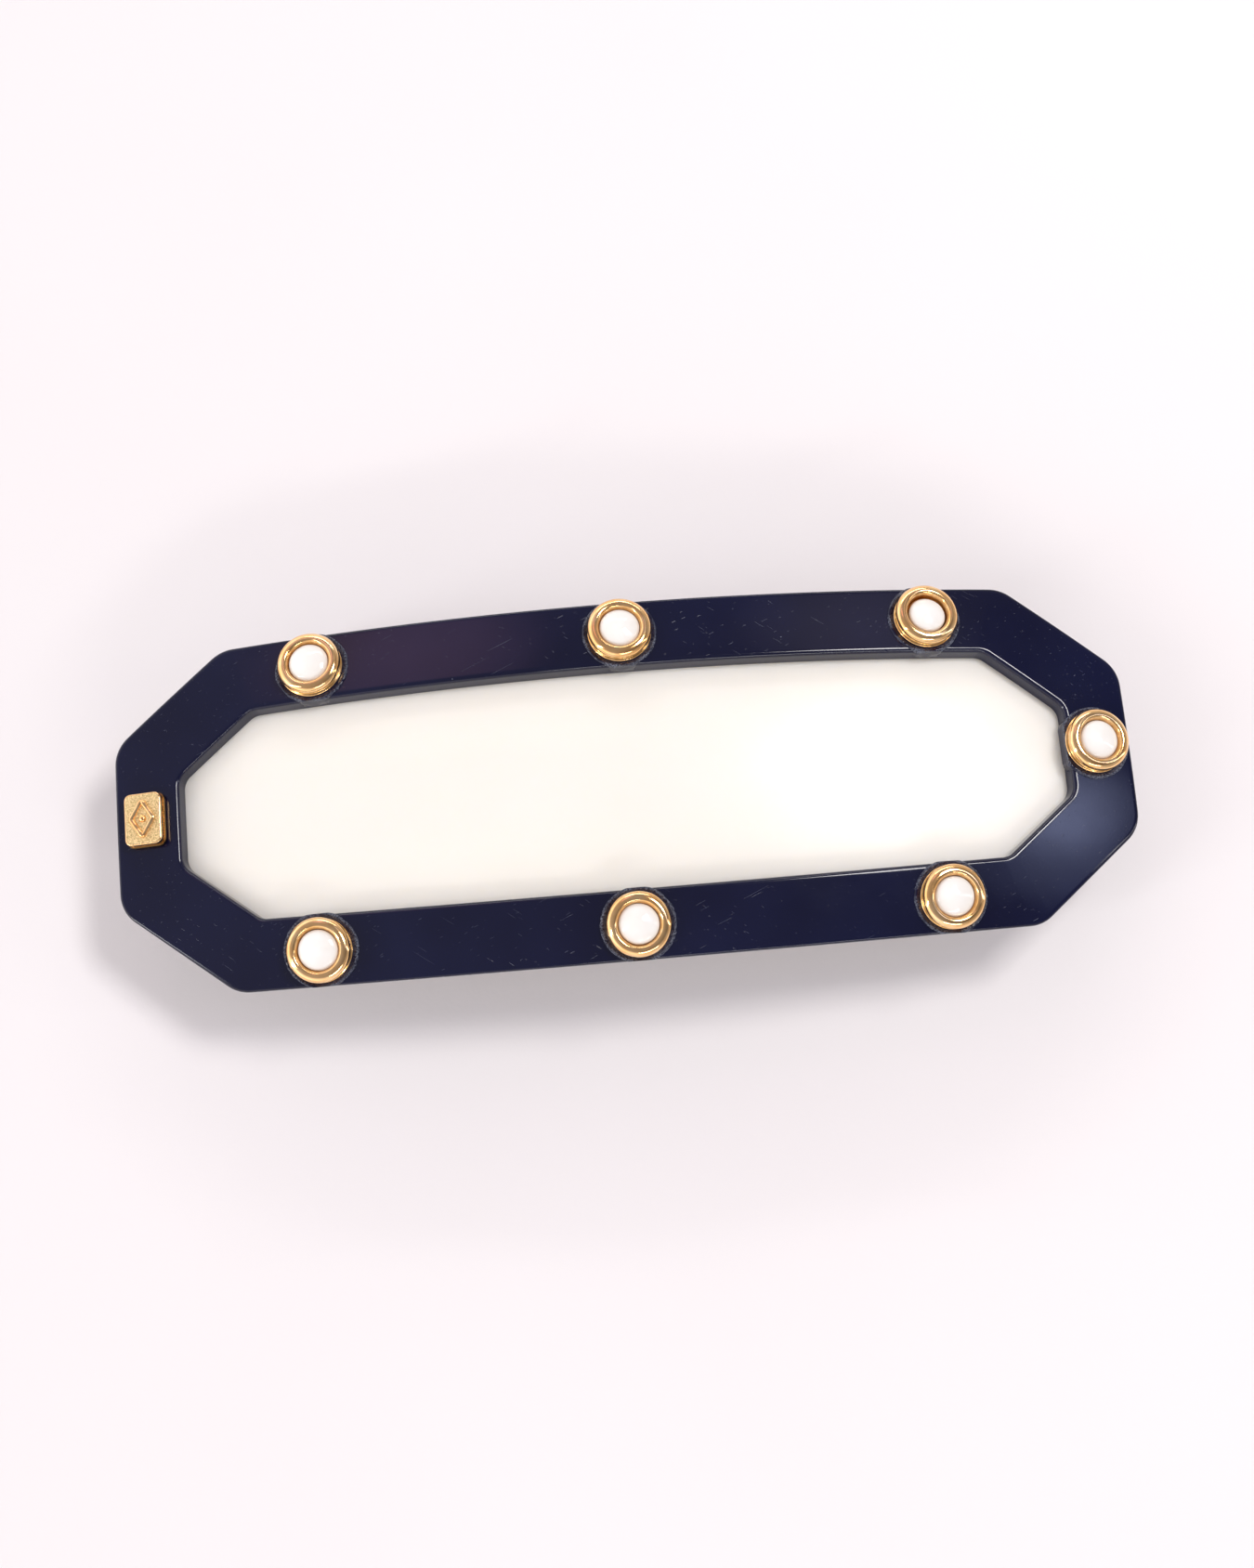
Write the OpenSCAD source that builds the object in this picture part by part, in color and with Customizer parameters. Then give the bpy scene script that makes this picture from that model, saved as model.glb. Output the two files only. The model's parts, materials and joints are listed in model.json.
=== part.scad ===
// Barrette: an arched, crowned navy frame around a recessed ivory panel, set with seven
// gold cup studs and one gold tile, and carried on a steel French clip.
// The part lies face up on its closed clip. X runs along the length, Y across, Z up.
// The origin is under the middle of the face, at the level of the clip's lowest points.

/* [Face] */
// Length of the face, seen from above
face_l = 99; // [97:0.5:101]
// Width of the face at its middle
face_w = 35.3; // [35:0.1:35.6]
// Thickness of the navy frame
frame_t = 3.5; // [3.4:0.1:3.8]
// Width of the frame's long sides
side_rim = 6.7; // [6.5:0.05:6.9]
// Width of the frame's short ends
end_rim = 6.3; // [6.1:0.1:6.5]
// Width of the frame across its sloping corners
corner_rim = 6.9; // [6.6:0.1:7.1]
// How far the long sides bow out between the corners
side_bow = 0.65; // [0.4:0.05:0.8]
// Length of each sloping corner along the face
corner_l = 10.9; // [10.4:0.1:11.4]
// Length of the straight edge at each end
end_edge = 16.2; // [15.6:0.2:17]
// Rounding of the outer corners
outer_r = 3.6; // [2:0.2:4.4]
// Rounding of the window's corners
window_r = 1.8; // [1:0.2:2.6]

/* [Curvature] */
// Radius of the arch along the length
arch_r = 220; // [215:5:230]
// Radius of the crown across the width
crown_r = 100; // [90:5:120]

/* [Panel] */
// Depth of the panel's face below the frame's face
panel_drop = 1.8; // [1.6:0.1:2]
// Width of the ledge that laps over the panel's edge
panel_lap = 1.6; // [1.2:0.1:1.8]

/* [Studs] */
// Diameter of each gold cup
cup_d = 6.2; // [5.8:0.1:6.4]
// Height of the cup's crown above its seat
cup_h = 1.6; // [1.5:0.1:1.8]
// Diameter of each white cabochon
pearl_d = 3.9; // [3.5:0.1:4]
// Diameter of the round seat under each cup
seat_d = 7.3; // [7:0.1:7.5]
// Spacing of the studs along the long sides
stud_pitch = 30.2; // [29:0.1:31]
// Distance of the single end stud from the middle
end_stud_x = 46.1; // [45.9:0.1:46.3]

/* [Tile] */
// Length of the gold tile across the rim
tile_l = 3.9; // [3.5:0.1:4.3]
// Width of the gold tile
tile_w = 5.3; // [4.8:0.1:5.8]
// Height of the gold tile
tile_h = 1.3; // [1.1:0.1:1.9]

/* [Clip] */
// Width of the clip's base strip
base_w = 8.5; // [8:0.1:9]
// Thickness of the base strip
base_t = 0.7; // [0.6:0.05:0.8]
// Width of the closing arm
arm_w = 6; // [5.8:0.1:6.2]
// Thickness of the closing arm
arm_t = 0.55; // [0.5:0.05:0.6]
// Gap between the base strip and the closed arm
hair_gap = 7.1; // [6.9:0.1:7.3]
// Distance of the hinge from the middle, along the arch
hinge_s = 41.2; // [40.8:0.1:41.4]
// Distance of the latch from the middle, along the arch
latch_s = 38.4; // [38:0.1:38.6]
// Diameter of the hinge pin
pin_d = 1.1; // [1:0.05:1.2]
// Opening angle of the closing arm, for viewing
open_angle = 0; // [0:5:70]

/* [Hidden] */
$fn = 64;
gold = [0.86, 0.62, 0.30];
navy = [0.10, 0.10, 0.20];
ivory = [0.97, 0.95, 0.88];
steel = [0.72, 0.72, 0.70];

// Play between parts that are put together but don't move, and running play of the hinge
fit_play = 0.03;
run_play = 0.05;
skin = 0.05;

half_l = face_l / 2;
half_w = face_w / 2;
corner_x = half_l - corner_l;
edge_y = end_edge / 2;

// The sloping corner as a line n . p = c, and the same line moved in by the rim
slope_w = half_w - side_bow - edge_y;
slope = norm([corner_l, slope_w]);
slope_n = [slope_w / slope, corner_l / slope];
slope_c = slope_n * [half_l, edge_y];
window_l = half_l - end_rim;
window_w = half_w - side_rim;
window_x = (slope_c - corner_rim - slope_n[1] * (window_w - side_bow)) / slope_n[0];
window_y = (slope_c - corner_rim - slope_n[0] * window_l) / slope_n[1];

// Studs: six in two rows and one at the end, as distances along and across the face
row_y = 13.9;
row_mid_y = 14.35;
row_shift = 0.35;
end_stud_y = 0.5;
STUDS = [
    [-stud_pitch + row_shift, row_y],
    [row_shift, row_mid_y],
    [stud_pitch + row_shift, row_y],
    [end_stud_x, end_stud_y],
    [stud_pitch - row_shift, -row_y],
    [-row_shift, -row_mid_y],
    [-stud_pitch - row_shift, -row_y]
];
tile_x = -46.7;
tile_y = 0.4;
seat_rise = 0.12;
seat_deep = 1.4;
shank_d = 2.4;
shank_l = 1.5;
pearl_seat_d = pearl_d + 2 * skin;
ring_r = 0.55;
waist_in = 0.2;
foot_h = 0.3;
cup_floor = 0.45;
pearl_rise = 1.75;
pearl_drum_h = 0.75;
tile_post_d = 1;
tile_post_l = 1.4;

// Levels of the clip, as radii about the centre of the arch
panel_back_r = arch_r - frame_t;
base_top_r = panel_back_r - 0.2;
base_low_r = base_top_r - base_t;
arm_top_r = base_low_r - hair_gap;
arm_low_r = arm_top_r - arm_t;
pin_r = pin_d / 2;
curl_in_r = pin_r + run_play;
curl_out_r = curl_in_r + arm_t;
hinge_r = arm_low_r + curl_out_r;
pin_head_r = pin_r + 0.4;
pin_head_t = 0.45;
ear_r = 1.5;
ear_t = 0.7;
ear_gap = arm_w + 0.3;
hinge_turn = hinge_s / arch_r * 180 / PI;
centre_z = ear_r - hinge_r * cos(hinge_turn);

// Rivets that hold the base strip to the panel
rivet_s = 25;
rivet_d = 1.2;
rivet_deep = 1.1;
rivet_head_d = 2.6;
rivet_head_h = 0.45;

// Bow spring under the base strip
bar_w = 5.5;
bar_t = 0.35;
bar_x = 35;
bar_mid_z = centre_z + base_low_r - 2;
bar_end_z = centre_z + sqrt(pow(base_low_r, 2) - pow(bar_x, 2)) - 0.12;
bar_sag = bar_mid_z - bar_end_z;
bar_r = (pow(bar_x, 2) + pow(bar_sag, 2)) / (2 * bar_sag);
keeper_l = 3;
keeper_t = 0.5;
keeper_lip = 0.8;

// Latch: a bracket under the base strip with two prongs that pass through the arm's window
bracket_t = 0.5;
bracket_l = 4;
bracket_w = 3.3;
bracket_low_r = base_low_r - skin - bracket_t;
latch_rivet_d = 1.6;
latch_rivet_s = latch_s - 0.6;
latch_head_d = 2.5;
latch_head_h = 0.4;
prong_t = 0.45;
prong_l = 2.6;
prong_y = 1.75;
hook_t = 0.5;
hook_reach = 0.75;
hook_top_r = arm_low_r - 0.1;
prong_roll_r = 0.4;
prong_axis_r = bracket_low_r - prong_roll_r - skin;
pad_l = 3.4;
pad_h = 5;
pad_turn = 38;
pad_neck = 1.3;
arm_window_w = 2 * (prong_y + prong_t) + 0.3;
arm_window_l = prong_l + 0.5;
arm_tip = 1.3;

CUPS = [for (i = [1 : len(STUDS)]) str("stud_cup_", i)];
PEARLS = [for (i = [1 : len(STUDS)]) str("stud_pearl_", i)];

// Angle of a distance along the arch
function turn(s) = s / arch_r * 180 / PI;

// Points of a rounded corner at b, between a and c
function corner(a, b, c, r, n = 8) =
    let (
        u = (a - b) / norm(a - b),
        v = (c - b) / norm(c - b),
        half = acos(u * v) / 2,
        mid = b + (u + v) / norm(u + v) * r / sin(half),
        p = b + u * r / tan(half) - mid,
        q = b + v * r / tan(half) - mid,
        from = atan2(p[1], p[0]),
        sweep = (atan2(q[1], q[0]) - from + 540) % 360 - 180
    )
    [for (i = [0 : n]) mid + r * [cos(from + sweep * i / n), sin(from + sweep * i / n)]];

// Quarter of the face's outline: bowed long side, sloping corner, straight end
function quarter(l, w, x, y, r) =
    let (
        bowed = [for (i = [0 : 9]) [x * i / 10, w - side_bow * pow(i / 10, 2)]],
        shoulder = [x, w - side_bow],
        tip = [l, y]
    )
    concat(bowed, corner(bowed[9], shoulder, tip, r), corner(shoulder, tip, [l, -y], r));

// Whole outline: l and w are its half length and half width, x and y place the sloping corners
module outline(l, w, x, y, r) {
    q = quarter(l, w, x, y, r);
    n = len(q) - 1;
    polygon(concat(
        q,
        [for (i = [n : -1 : 0]) [q[i][0], -q[i][1]]],
        [for (i = [1 : n]) -q[i]],
        [for (i = [n : -1 : 1]) [-q[i][0], q[i][1]]]
    ));
}

// Column with the window's outline, grown by lap
module window_column(lap = 0) {
    grow = lap * 0.4;
    translate([0, 0, centre_z + arch_r - 20])
        linear_extrude(40)
            outline(window_l + lap, window_w + lap, window_x + grow, window_y + grow, window_r);
}

// Doubly curved layer between two depths below the face
module layer(top, bottom) {
    translate([0, 0, centre_z])
        rotate([90, 0, 0])
            rotate([0, 0, 73])
                rotate_extrude(angle = 34, $fn = 720)
                    intersection() {
                        difference() {
                            translate([arch_r - crown_r, 0]) circle(crown_r - top, $fn = 240);
                            translate([arch_r - crown_r, 0]) circle(crown_r - bottom, $fn = 240);
                        }
                        translate([arch_r - crown_r, -half_w - 5]) square([2 * crown_r, 2 * half_w + 10]);
                    }
}

// Puts its children on the face: u along it, v across it, h above it
module on_face(u, v, h = 0) {
    translate([0, 0, centre_z])
        rotate([0, turn(u), 0])
            translate([0, 0, arch_r - crown_r])
                rotate([-v / crown_r * 180 / PI, 0, 0])
                    translate([0, 0, crown_r + h])
                        children();
}

// Puts its children in the clip: s along the arch, r from the arch's centre
module in_clip(s, r) {
    translate([0, 0, centre_z])
        rotate([0, turn(s), 0])
            translate([0, 0, r])
                children();
}

// Curved strip of the clip, from s0 to s1 along the arch
module strip(s0, s1, low_r, top_r, w) {
    translate([0, 0, centre_z])
        rotate([90, 0, 0])
            rotate([0, 0, 90 - turn(s1)])
                rotate_extrude(angle = turn(s1) - turn(s0), $fn = 720)
                    translate([low_r, -w / 2])
                        square([top_r - low_r, w]);
}

// Round bar along Y, centred
module cross_bar(r, l) {
    rotate([90, 0, 0]) cylinder(r = r, h = l, center = true);
}

module navy_frame() {
    color(navy)
        difference() {
            union() {
                difference() {
                    intersection() {
                        layer(0, frame_t);
                        translate([0, 0, centre_z + arch_r - 20])
                            linear_extrude(40)
                                outline(half_l, half_w, corner_x, edge_y, outer_r);
                    }
                    window_column();
                }
                for (s = STUDS)
                    on_face(s[0], s[1], -seat_deep) cylinder(d = seat_d, h = seat_deep + seat_rise);
            }
            intersection() {
                layer(panel_drop, frame_t + 1);
                window_column(panel_lap);
            }
            for (s = STUDS)
                on_face(s[0], s[1], -shank_l - skin) cylinder(d = shank_d + 2 * fit_play, h = shank_l + 1);
            for (y = [-1, 1])
                on_face(tile_x, tile_y + y * tile_w / 4, -tile_post_l - skin)
                    cylinder(d = tile_post_d + 2 * fit_play, h = tile_post_l + 1);
        }
}

module ivory_panel() {
    color(ivory)
        difference() {
            intersection() {
                layer(panel_drop + skin, frame_t);
                window_column(panel_lap - skin);
            }
            for (s = [-rivet_s, rivet_s])
                in_clip(s, panel_back_r - 1) cylinder(d = rivet_d + 2 * fit_play, h = rivet_deep + 1 + skin);
        }
}

// Gold cup: a shank, a thin foot flange and a fat rolled ring around the cabochon's seat
module stud_cup(i) {
    ring_x = cup_d / 2 - ring_r;
    color(gold)
        on_face(STUDS[i][0], STUDS[i][1], seat_rise + skin)
            rotate_extrude()
                difference() {
                    union() {
                        translate([0, -seat_rise - shank_l]) square([shank_d / 2, seat_rise + shank_l + 0.4]);
                        square([cup_d / 2, foot_h]);
                        square([cup_d / 2 - waist_in, cup_h - ring_r]);
                        translate([ring_x, cup_h - ring_r]) circle(ring_r, $fn = 40);
                    }
                    translate([0, cup_floor]) square([pearl_seat_d / 2, cup_h]);
                }
}

// White cabochon: a short drum under a round dome
module stud_pearl(i) {
    rise = pearl_rise - cup_floor - pearl_drum_h;
    dome_r = (pow(pearl_d / 2, 2) + pow(rise, 2)) / (2 * rise);
    color("white")
        on_face(STUDS[i][0], STUDS[i][1], seat_rise + 2 * skin + cup_floor)
            rotate_extrude()
                intersection() {
                    translate([0, pearl_drum_h + rise - dome_r]) circle(dome_r, $fn = 120);
                    square([pearl_d / 2, pearl_drum_h + rise]);
                }
}

// Gold tile: two steps, a raised lozenge on top and two posts into the frame
module gold_tile() {
    step_h = tile_h * 0.5;
    step_in = 0.25;
    color(gold)
        on_face(tile_x, tile_y, skin) {
            translate([0, 0, step_h / 2]) rounded_block(tile_l, tile_w, step_h, 0.7);
            translate([0, 0, tile_h / 2]) rounded_block(tile_l - step_in, tile_w - step_in, tile_h, 0.7);
            translate([0, 0, tile_h]) lozenge(tile_l * 0.26, tile_w * 0.3, 0.25);
            for (y = [-tile_w / 4, tile_w / 4])
                translate([0, y, -tile_post_l]) cylinder(d = tile_post_d, h = tile_post_l + 0.5);
        }
}

// Block with rounded upright edges, centred
module rounded_block(l, w, h, r) {
    cube([l - 2 * r, w, h], center = true);
    cube([l, w - 2 * r, h], center = true);
    for (x = [-1, 1], y = [-1, 1])
        translate([x * (l / 2 - r), y * (w / 2 - r), 0])
            cylinder(r = r, h = h, center = true);
}

// Upright lozenge plate
module lozenge(half_x, half_y, h) {
    translate([0, 0, -h])
        linear_extrude(2 * h)
            polygon([[half_x, 0], [0, half_y], [-half_x, 0], [0, -half_y]]);
}

// Base strip with hinge ears at one end and keepers for the bow spring
module clip_base() {
    keeper_z = bar_end_z - bar_t - 0.1;
    color(steel)
        difference() {
            union() {
                strip(-hinge_s - 0.4, latch_s + 2, base_low_r, base_top_r, base_w);
                for (y = [-1, 1])
                    in_clip(-hinge_s, hinge_r)
                        translate([0, y * (ear_gap + ear_t) / 2, 0])
                            hinge_ear();
                for (x = [-1, 1], y = [-1, 1])
                    keeper(x, y, keeper_z);
            }
            in_clip(-hinge_s, hinge_r) cross_bar(pin_r + 0.02, base_w + 2);
            for (s = [-rivet_s, rivet_s])
                in_clip(s, base_low_r - 1) cylinder(d = rivet_d + 2 * fit_play, h = base_t + 2);
            in_clip(latch_rivet_s, base_low_r - 1)
                cylinder(d = latch_rivet_d + 2 * fit_play, h = base_t + 2);
        }
}

// One hinge ear: a round eye on a leg that comes down from the base strip
module hinge_ear() {
    leg = base_low_r - hinge_r + base_t / 2;
    cross_bar(ear_r, ear_t);
    translate([-ear_r, -ear_t / 2, 0]) cube([2 * ear_r, ear_t, leg]);
}

// L-shaped keeper that carries one corner of the bow spring's end
module keeper(x, y, z) {
    wall_y = bar_w / 2 + 0.1;
    top = centre_z + sqrt(pow(base_low_r, 2) - pow(bar_x - keeper_l, 2)) + 0.2;
    x0 = x > 0 ? bar_x - keeper_l : -bar_x;
    y0 = y > 0 ? wall_y : -wall_y - keeper_t;
    lip_y0 = y > 0 ? wall_y - keeper_lip : -wall_y - keeper_t;
    translate([x0, y0, z - keeper_t]) cube([keeper_l, keeper_t, top - z + keeper_t]);
    translate([x0, lip_y0, z - keeper_t]) cube([keeper_l, keeper_t + keeper_lip, keeper_t]);
}

// Blind rivet through the base strip into the panel's back
module base_rivet(s) {
    color(steel)
        in_clip(s, base_low_r - skin) {
            cylinder(d = rivet_d, h = panel_back_r - base_low_r + rivet_deep + skin);
            translate([0, 0, -rivet_head_h]) cylinder(d = rivet_head_d, h = rivet_head_h);
        }
}

// Hinge pin with a head outside each ear
module hinge_pin() {
    head_y = ear_gap / 2 + ear_t + skin;
    color(steel)
        in_clip(-hinge_s, hinge_r) {
            cross_bar(pin_r, 2 * head_y + pin_head_t);
            for (y = [-1, 1])
                translate([0, y * (head_y + pin_head_t / 2), 0]) cross_bar(pin_head_r, pin_head_t);
        }
}

// Closing arm: a curled eye on the hinge pin, a thin strip, and a window near its tip
module closing_arm() {
    color(steel)
        arm_opened()
            difference() {
                union() {
                    strip(-hinge_s, latch_s + arm_window_l / 2 + arm_tip, arm_low_r, arm_top_r, arm_w);
                    in_clip(-hinge_s, hinge_r) cross_bar(curl_out_r, arm_w);
                }
                in_clip(-hinge_s, hinge_r) cross_bar(curl_in_r, arm_w + 1);
                in_clip(latch_s, arm_low_r)
                    translate([-arm_window_l / 2, -arm_window_w / 2, -1])
                        cube([arm_window_l, arm_window_w, 3]);
            }
}

// Swings its children about the hinge
module arm_opened() {
    x = -hinge_r * sin(hinge_turn);
    z = centre_z + hinge_r * cos(hinge_turn);
    translate([x, 0, z])
        rotate([0, open_angle, 0])
            translate([-x, 0, -z])
                children();
}

// Bow spring: a thin strip, flatter than the base, with its ends in the keepers
module bow_spring() {
    span = asin(bar_x / bar_r);
    color(steel)
        translate([0, 0, bar_mid_z - bar_r])
            rotate([90, 0, 0])
                rotate([0, 0, 90 - span])
                    rotate_extrude(angle = 2 * span, $fn = 1440)
                        translate([bar_r - bar_t, -bar_w / 2])
                            square([bar_t, bar_w]);
}

// Bracket of the latch, riveted under the base strip
module latch_bracket() {
    color(steel)
        difference() {
            strip(latch_s - bracket_l / 2, latch_s + bracket_l / 2, bracket_low_r, base_low_r - skin, bracket_w);
            in_clip(latch_rivet_s, bracket_low_r - 1)
                cylinder(d = latch_rivet_d + 2 * fit_play, h = bracket_t + 2);
        }
}

// Rivet through the bracket and the base strip
module latch_rivet() {
    color(steel)
        in_clip(latch_rivet_s, bracket_low_r - skin) {
            cylinder(d = latch_rivet_d, h = base_top_r - bracket_low_r);
            translate([0, 0, -latch_head_h]) cylinder(d = latch_head_d, h = latch_head_h);
        }
}

// One prong of the latch: rolled root, blade, outward hook and flared finger pad
module latch_prong(side) {
    root = prong_axis_r - hook_top_r;
    blade_y = side > 0 ? prong_y : -prong_y - prong_t;
    hook_y = side > 0 ? prong_y : -prong_y - prong_t - hook_reach;
    color(steel)
        in_clip(latch_s, hook_top_r) {
            translate([-prong_l / 2, blade_y, -hook_t]) cube([prong_l, prong_t, root + hook_t]);
            translate([-prong_l / 2, hook_y, -hook_t]) cube([prong_l, prong_t + hook_reach, hook_t]);
            translate([0, side * (prong_y + prong_t / 2), root])
                rotate([0, 90, 0])
                    cylinder(r = prong_roll_r, h = prong_l, center = true);
            translate([prong_l / 2 - 0.1, blade_y, root - pad_h]) cube([pad_neck, prong_t, pad_h]);
            translate([prong_l / 2 + pad_neck - 0.1, side * (prong_y + prong_t / 2), root - pad_h / 2])
                rotate([0, 0, side * pad_turn])
                    translate([pad_l / 2, 0, 0])
                        finger_pad();
        }
}

// Finger pad: a round-ended plate
module finger_pad() {
    translate([-0.5, 0, 0]) cube([pad_l - 1, prong_t, pad_h], center = true);
    translate([pad_l / 2 - 1, 0, 0]) cross_bar(pad_h / 2, prong_t);
}

module latch_prong_front() { latch_prong(-1); }
module latch_prong_rear() { latch_prong(1); }

navy_frame();
ivory_panel();
for (i = [0 : len(STUDS) - 1]) {
    stud_cup(i);
    stud_pearl(i);
}
gold_tile();
clip_base();
base_rivet(-rivet_s);  // base_rivet_hinge_end
base_rivet(rivet_s);  // base_rivet_latch_end
hinge_pin();
closing_arm();
bow_spring();
latch_bracket();
latch_rivet();
latch_prong_front();
latch_prong_rear();
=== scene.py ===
import json
import math

import bmesh
import bpy
from mathutils import Euler, Matrix, Vector, noise


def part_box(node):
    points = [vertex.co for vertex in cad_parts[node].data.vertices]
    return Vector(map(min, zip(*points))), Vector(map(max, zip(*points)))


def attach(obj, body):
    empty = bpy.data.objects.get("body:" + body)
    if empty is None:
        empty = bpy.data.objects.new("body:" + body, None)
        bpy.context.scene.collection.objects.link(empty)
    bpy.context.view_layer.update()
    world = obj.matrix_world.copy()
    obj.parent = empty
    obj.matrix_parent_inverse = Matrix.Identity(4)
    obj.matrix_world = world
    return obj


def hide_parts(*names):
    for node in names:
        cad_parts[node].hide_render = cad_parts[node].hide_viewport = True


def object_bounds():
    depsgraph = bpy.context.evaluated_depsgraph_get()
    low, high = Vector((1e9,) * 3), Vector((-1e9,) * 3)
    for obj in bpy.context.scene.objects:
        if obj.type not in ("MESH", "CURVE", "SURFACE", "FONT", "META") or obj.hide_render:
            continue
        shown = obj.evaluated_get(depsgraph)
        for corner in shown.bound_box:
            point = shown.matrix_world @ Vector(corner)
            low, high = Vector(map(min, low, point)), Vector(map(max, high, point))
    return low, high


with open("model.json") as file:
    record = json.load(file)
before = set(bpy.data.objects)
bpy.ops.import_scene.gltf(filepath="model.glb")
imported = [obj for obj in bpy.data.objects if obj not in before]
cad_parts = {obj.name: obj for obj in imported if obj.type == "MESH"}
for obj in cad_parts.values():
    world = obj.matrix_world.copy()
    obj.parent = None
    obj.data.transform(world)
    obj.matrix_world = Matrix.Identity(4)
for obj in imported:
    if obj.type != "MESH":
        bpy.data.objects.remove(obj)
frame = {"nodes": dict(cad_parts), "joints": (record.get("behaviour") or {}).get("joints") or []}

scene = bpy.context.scene
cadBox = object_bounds()
mm = 0.001  # measures are in millimetres, and the meshes are made in metres
print("frame loaded")

# The face is an arch along X with a crown across Y; heights are measured out from it
face = {
    "length": 99.0,
    "width": 35.3,
    "thickness": 3.5,
    "sideRim": 6.7,
    "endRim": 6.3,
    "cornerRim": 6.9,
    "sideBow": 0.65,
    "cornerLength": 10.9,
    "endEdge": 16.2,
    "outerRound": 3.6,
    "windowRound": 1.8,
    "archRadius": 220.0,
    "crownRadius": 100.0,
    "panelDepth": 1.85,
    "ledge": 1.6,
    "play": 0.05,
}
archRadius = face["archRadius"]
crownRadius = face["crownRadius"]
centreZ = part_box("ivory_panel")[1].z / mm + face["panelDepth"] - archRadius


def facePoint(x, y, height):  # over x, y of the face, and this far out along its normal
    lean = math.asin(y / crownRadius)
    turn = math.asin(x / (archRadius - crownRadius + crownRadius * math.cos(lean)))
    reach = archRadius - crownRadius + (crownRadius + height) * math.cos(lean)
    across = (crownRadius + height) * math.sin(lean)
    return Vector((reach * math.sin(turn), across, centreZ + reach * math.cos(turn))) * mm


def facePlace(along, across, height=0.0):  # a frame standing on the face
    return (
        Matrix.Translation((0, 0, centreZ * mm))
        @ Matrix.Rotation(along / archRadius, 4, "Y")
        @ Matrix.Translation((0, 0, (archRadius - crownRadius) * mm))
        @ Matrix.Rotation(-across / crownRadius, 4, "X")
        @ Matrix.Translation((0, 0, (crownRadius + height) * mm))
    )


def clipPlace(along, radius):  # a frame standing in the clip, at this distance from the arch's centre
    return (
        Matrix.Translation((0, 0, centreZ * mm))
        @ Matrix.Rotation(along / archRadius, 4, "Y")
        @ Matrix.Translation((0, 0, radius * mm))
    )


def nodeSpot(name):  # where a CAD node sits on the face: along it and across it
    mesh = frame["nodes"][name].data
    total = sum(polygon.area for polygon in mesh.polygons)
    middle = sum((polygon.center * polygon.area for polygon in mesh.polygons), Vector()) / total / mm
    up = middle.z - centreZ
    out = math.hypot(middle.x, up) - (archRadius - crownRadius)
    return archRadius * math.atan2(middle.x, up), crownRadius * math.atan2(middle.y, out)


def clipRadius(name, corner=1):  # how far a clip node's crown is from the arch's centre
    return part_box(name)[corner].z / mm - centreZ


# Materials: each is a Principled shader with its own noise, scratches and grain

def newMaterial(name, roughness, metallic=0.0, **sockets):
    material = bpy.data.materials.new(name)
    material.use_nodes = True
    shader = material.node_tree.nodes["Principled BSDF"]
    shader.inputs["Roughness"].default_value = roughness
    shader.inputs["Metallic"].default_value = metallic
    for socket, value in sockets.items():
        shader.inputs[socket.replace("_", " ")].default_value = value
    return material, material.node_tree, shader


def addNode(tree, kind, sockets=None, **settings):
    node = tree.nodes.new(kind)
    for key, value in settings.items():
        setattr(node, key, value)
    for key, value in (sockets or {}).items():
        if isinstance(value, bpy.types.NodeSocket):
            tree.links.new(value, node.inputs[key])
        else:
            node.inputs[key].default_value = value
    return node


def surfaceSpace(tree, stretch=(1, 1, 1), turn=0):  # the piece's own coordinates, turned and then stretched
    where = addNode(tree, "ShaderNodeTexCoord").outputs["Object"]
    mapping = addNode(tree, "ShaderNodeMapping", {"Vector": where}, vector_type="TEXTURE")
    mapping.inputs["Scale"].default_value = stretch
    mapping.inputs["Rotation"].default_value = (0, 0, math.radians(turn))
    return mapping.outputs["Vector"]


def grain(tree, size, detail=2.0, rough=0.5, space=None):  # noise whose features are about size mm
    sockets = {"Vector": space or surfaceSpace(tree), "Scale": 1.0 / (size * mm)}
    sockets |= {"Detail": detail, "Roughness": rough}
    return addNode(tree, "ShaderNodeTexNoise", sockets).outputs["Fac"]


def ramp(tree, value, stops):  # stops are (position, brightness or colour)
    node = addNode(tree, "ShaderNodeValToRGB", {"Fac": value})
    elements = node.color_ramp.elements
    while len(elements) < len(stops):
        elements.new(0.5)
    for element, (position, colour) in zip(elements, stops):
        element.position = position
        element.color = (*colour, 1) if isinstance(colour, tuple) else (colour, colour, colour, 1)
    return node.outputs["Color"]


def mixColour(tree, amount, first, second):
    node = addNode(tree, "ShaderNodeMix", {"Factor": amount}, data_type="RGBA")
    for socket, value in ((node.inputs[6], first), (node.inputs[7], second)):
        if isinstance(value, bpy.types.NodeSocket):
            tree.links.new(value, socket)
        else:
            socket.default_value = (*value, 1)
    return node.outputs[2]


def blend(tree, kind, first, second):
    node = addNode(tree, "ShaderNodeMix", {"Factor": 1.0}, data_type="RGBA", blend_type=kind)
    tree.links.new(first, node.inputs[6])
    tree.links.new(second, node.inputs[7])
    return node.outputs[2]


def calculate(tree, operation, first, second, clamp=False):
    node = tree.nodes.new("ShaderNodeMath")
    node.operation = operation
    node.use_clamp = clamp
    for socket, value in zip(node.inputs, (first, second)):
        if isinstance(value, bpy.types.NodeSocket):
            tree.links.new(value, socket)
        else:
            socket.default_value = value
    return node.outputs[0]


def bump(tree, height, distance, strength=1.0, below=None):  # distance in mm
    sockets = {"Height": height, "Distance": distance * mm, "Strength": strength}
    if below:
        sockets["Normal"] = below
    return addNode(tree, "ShaderNodeBump", sockets).outputs["Normal"]


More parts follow.
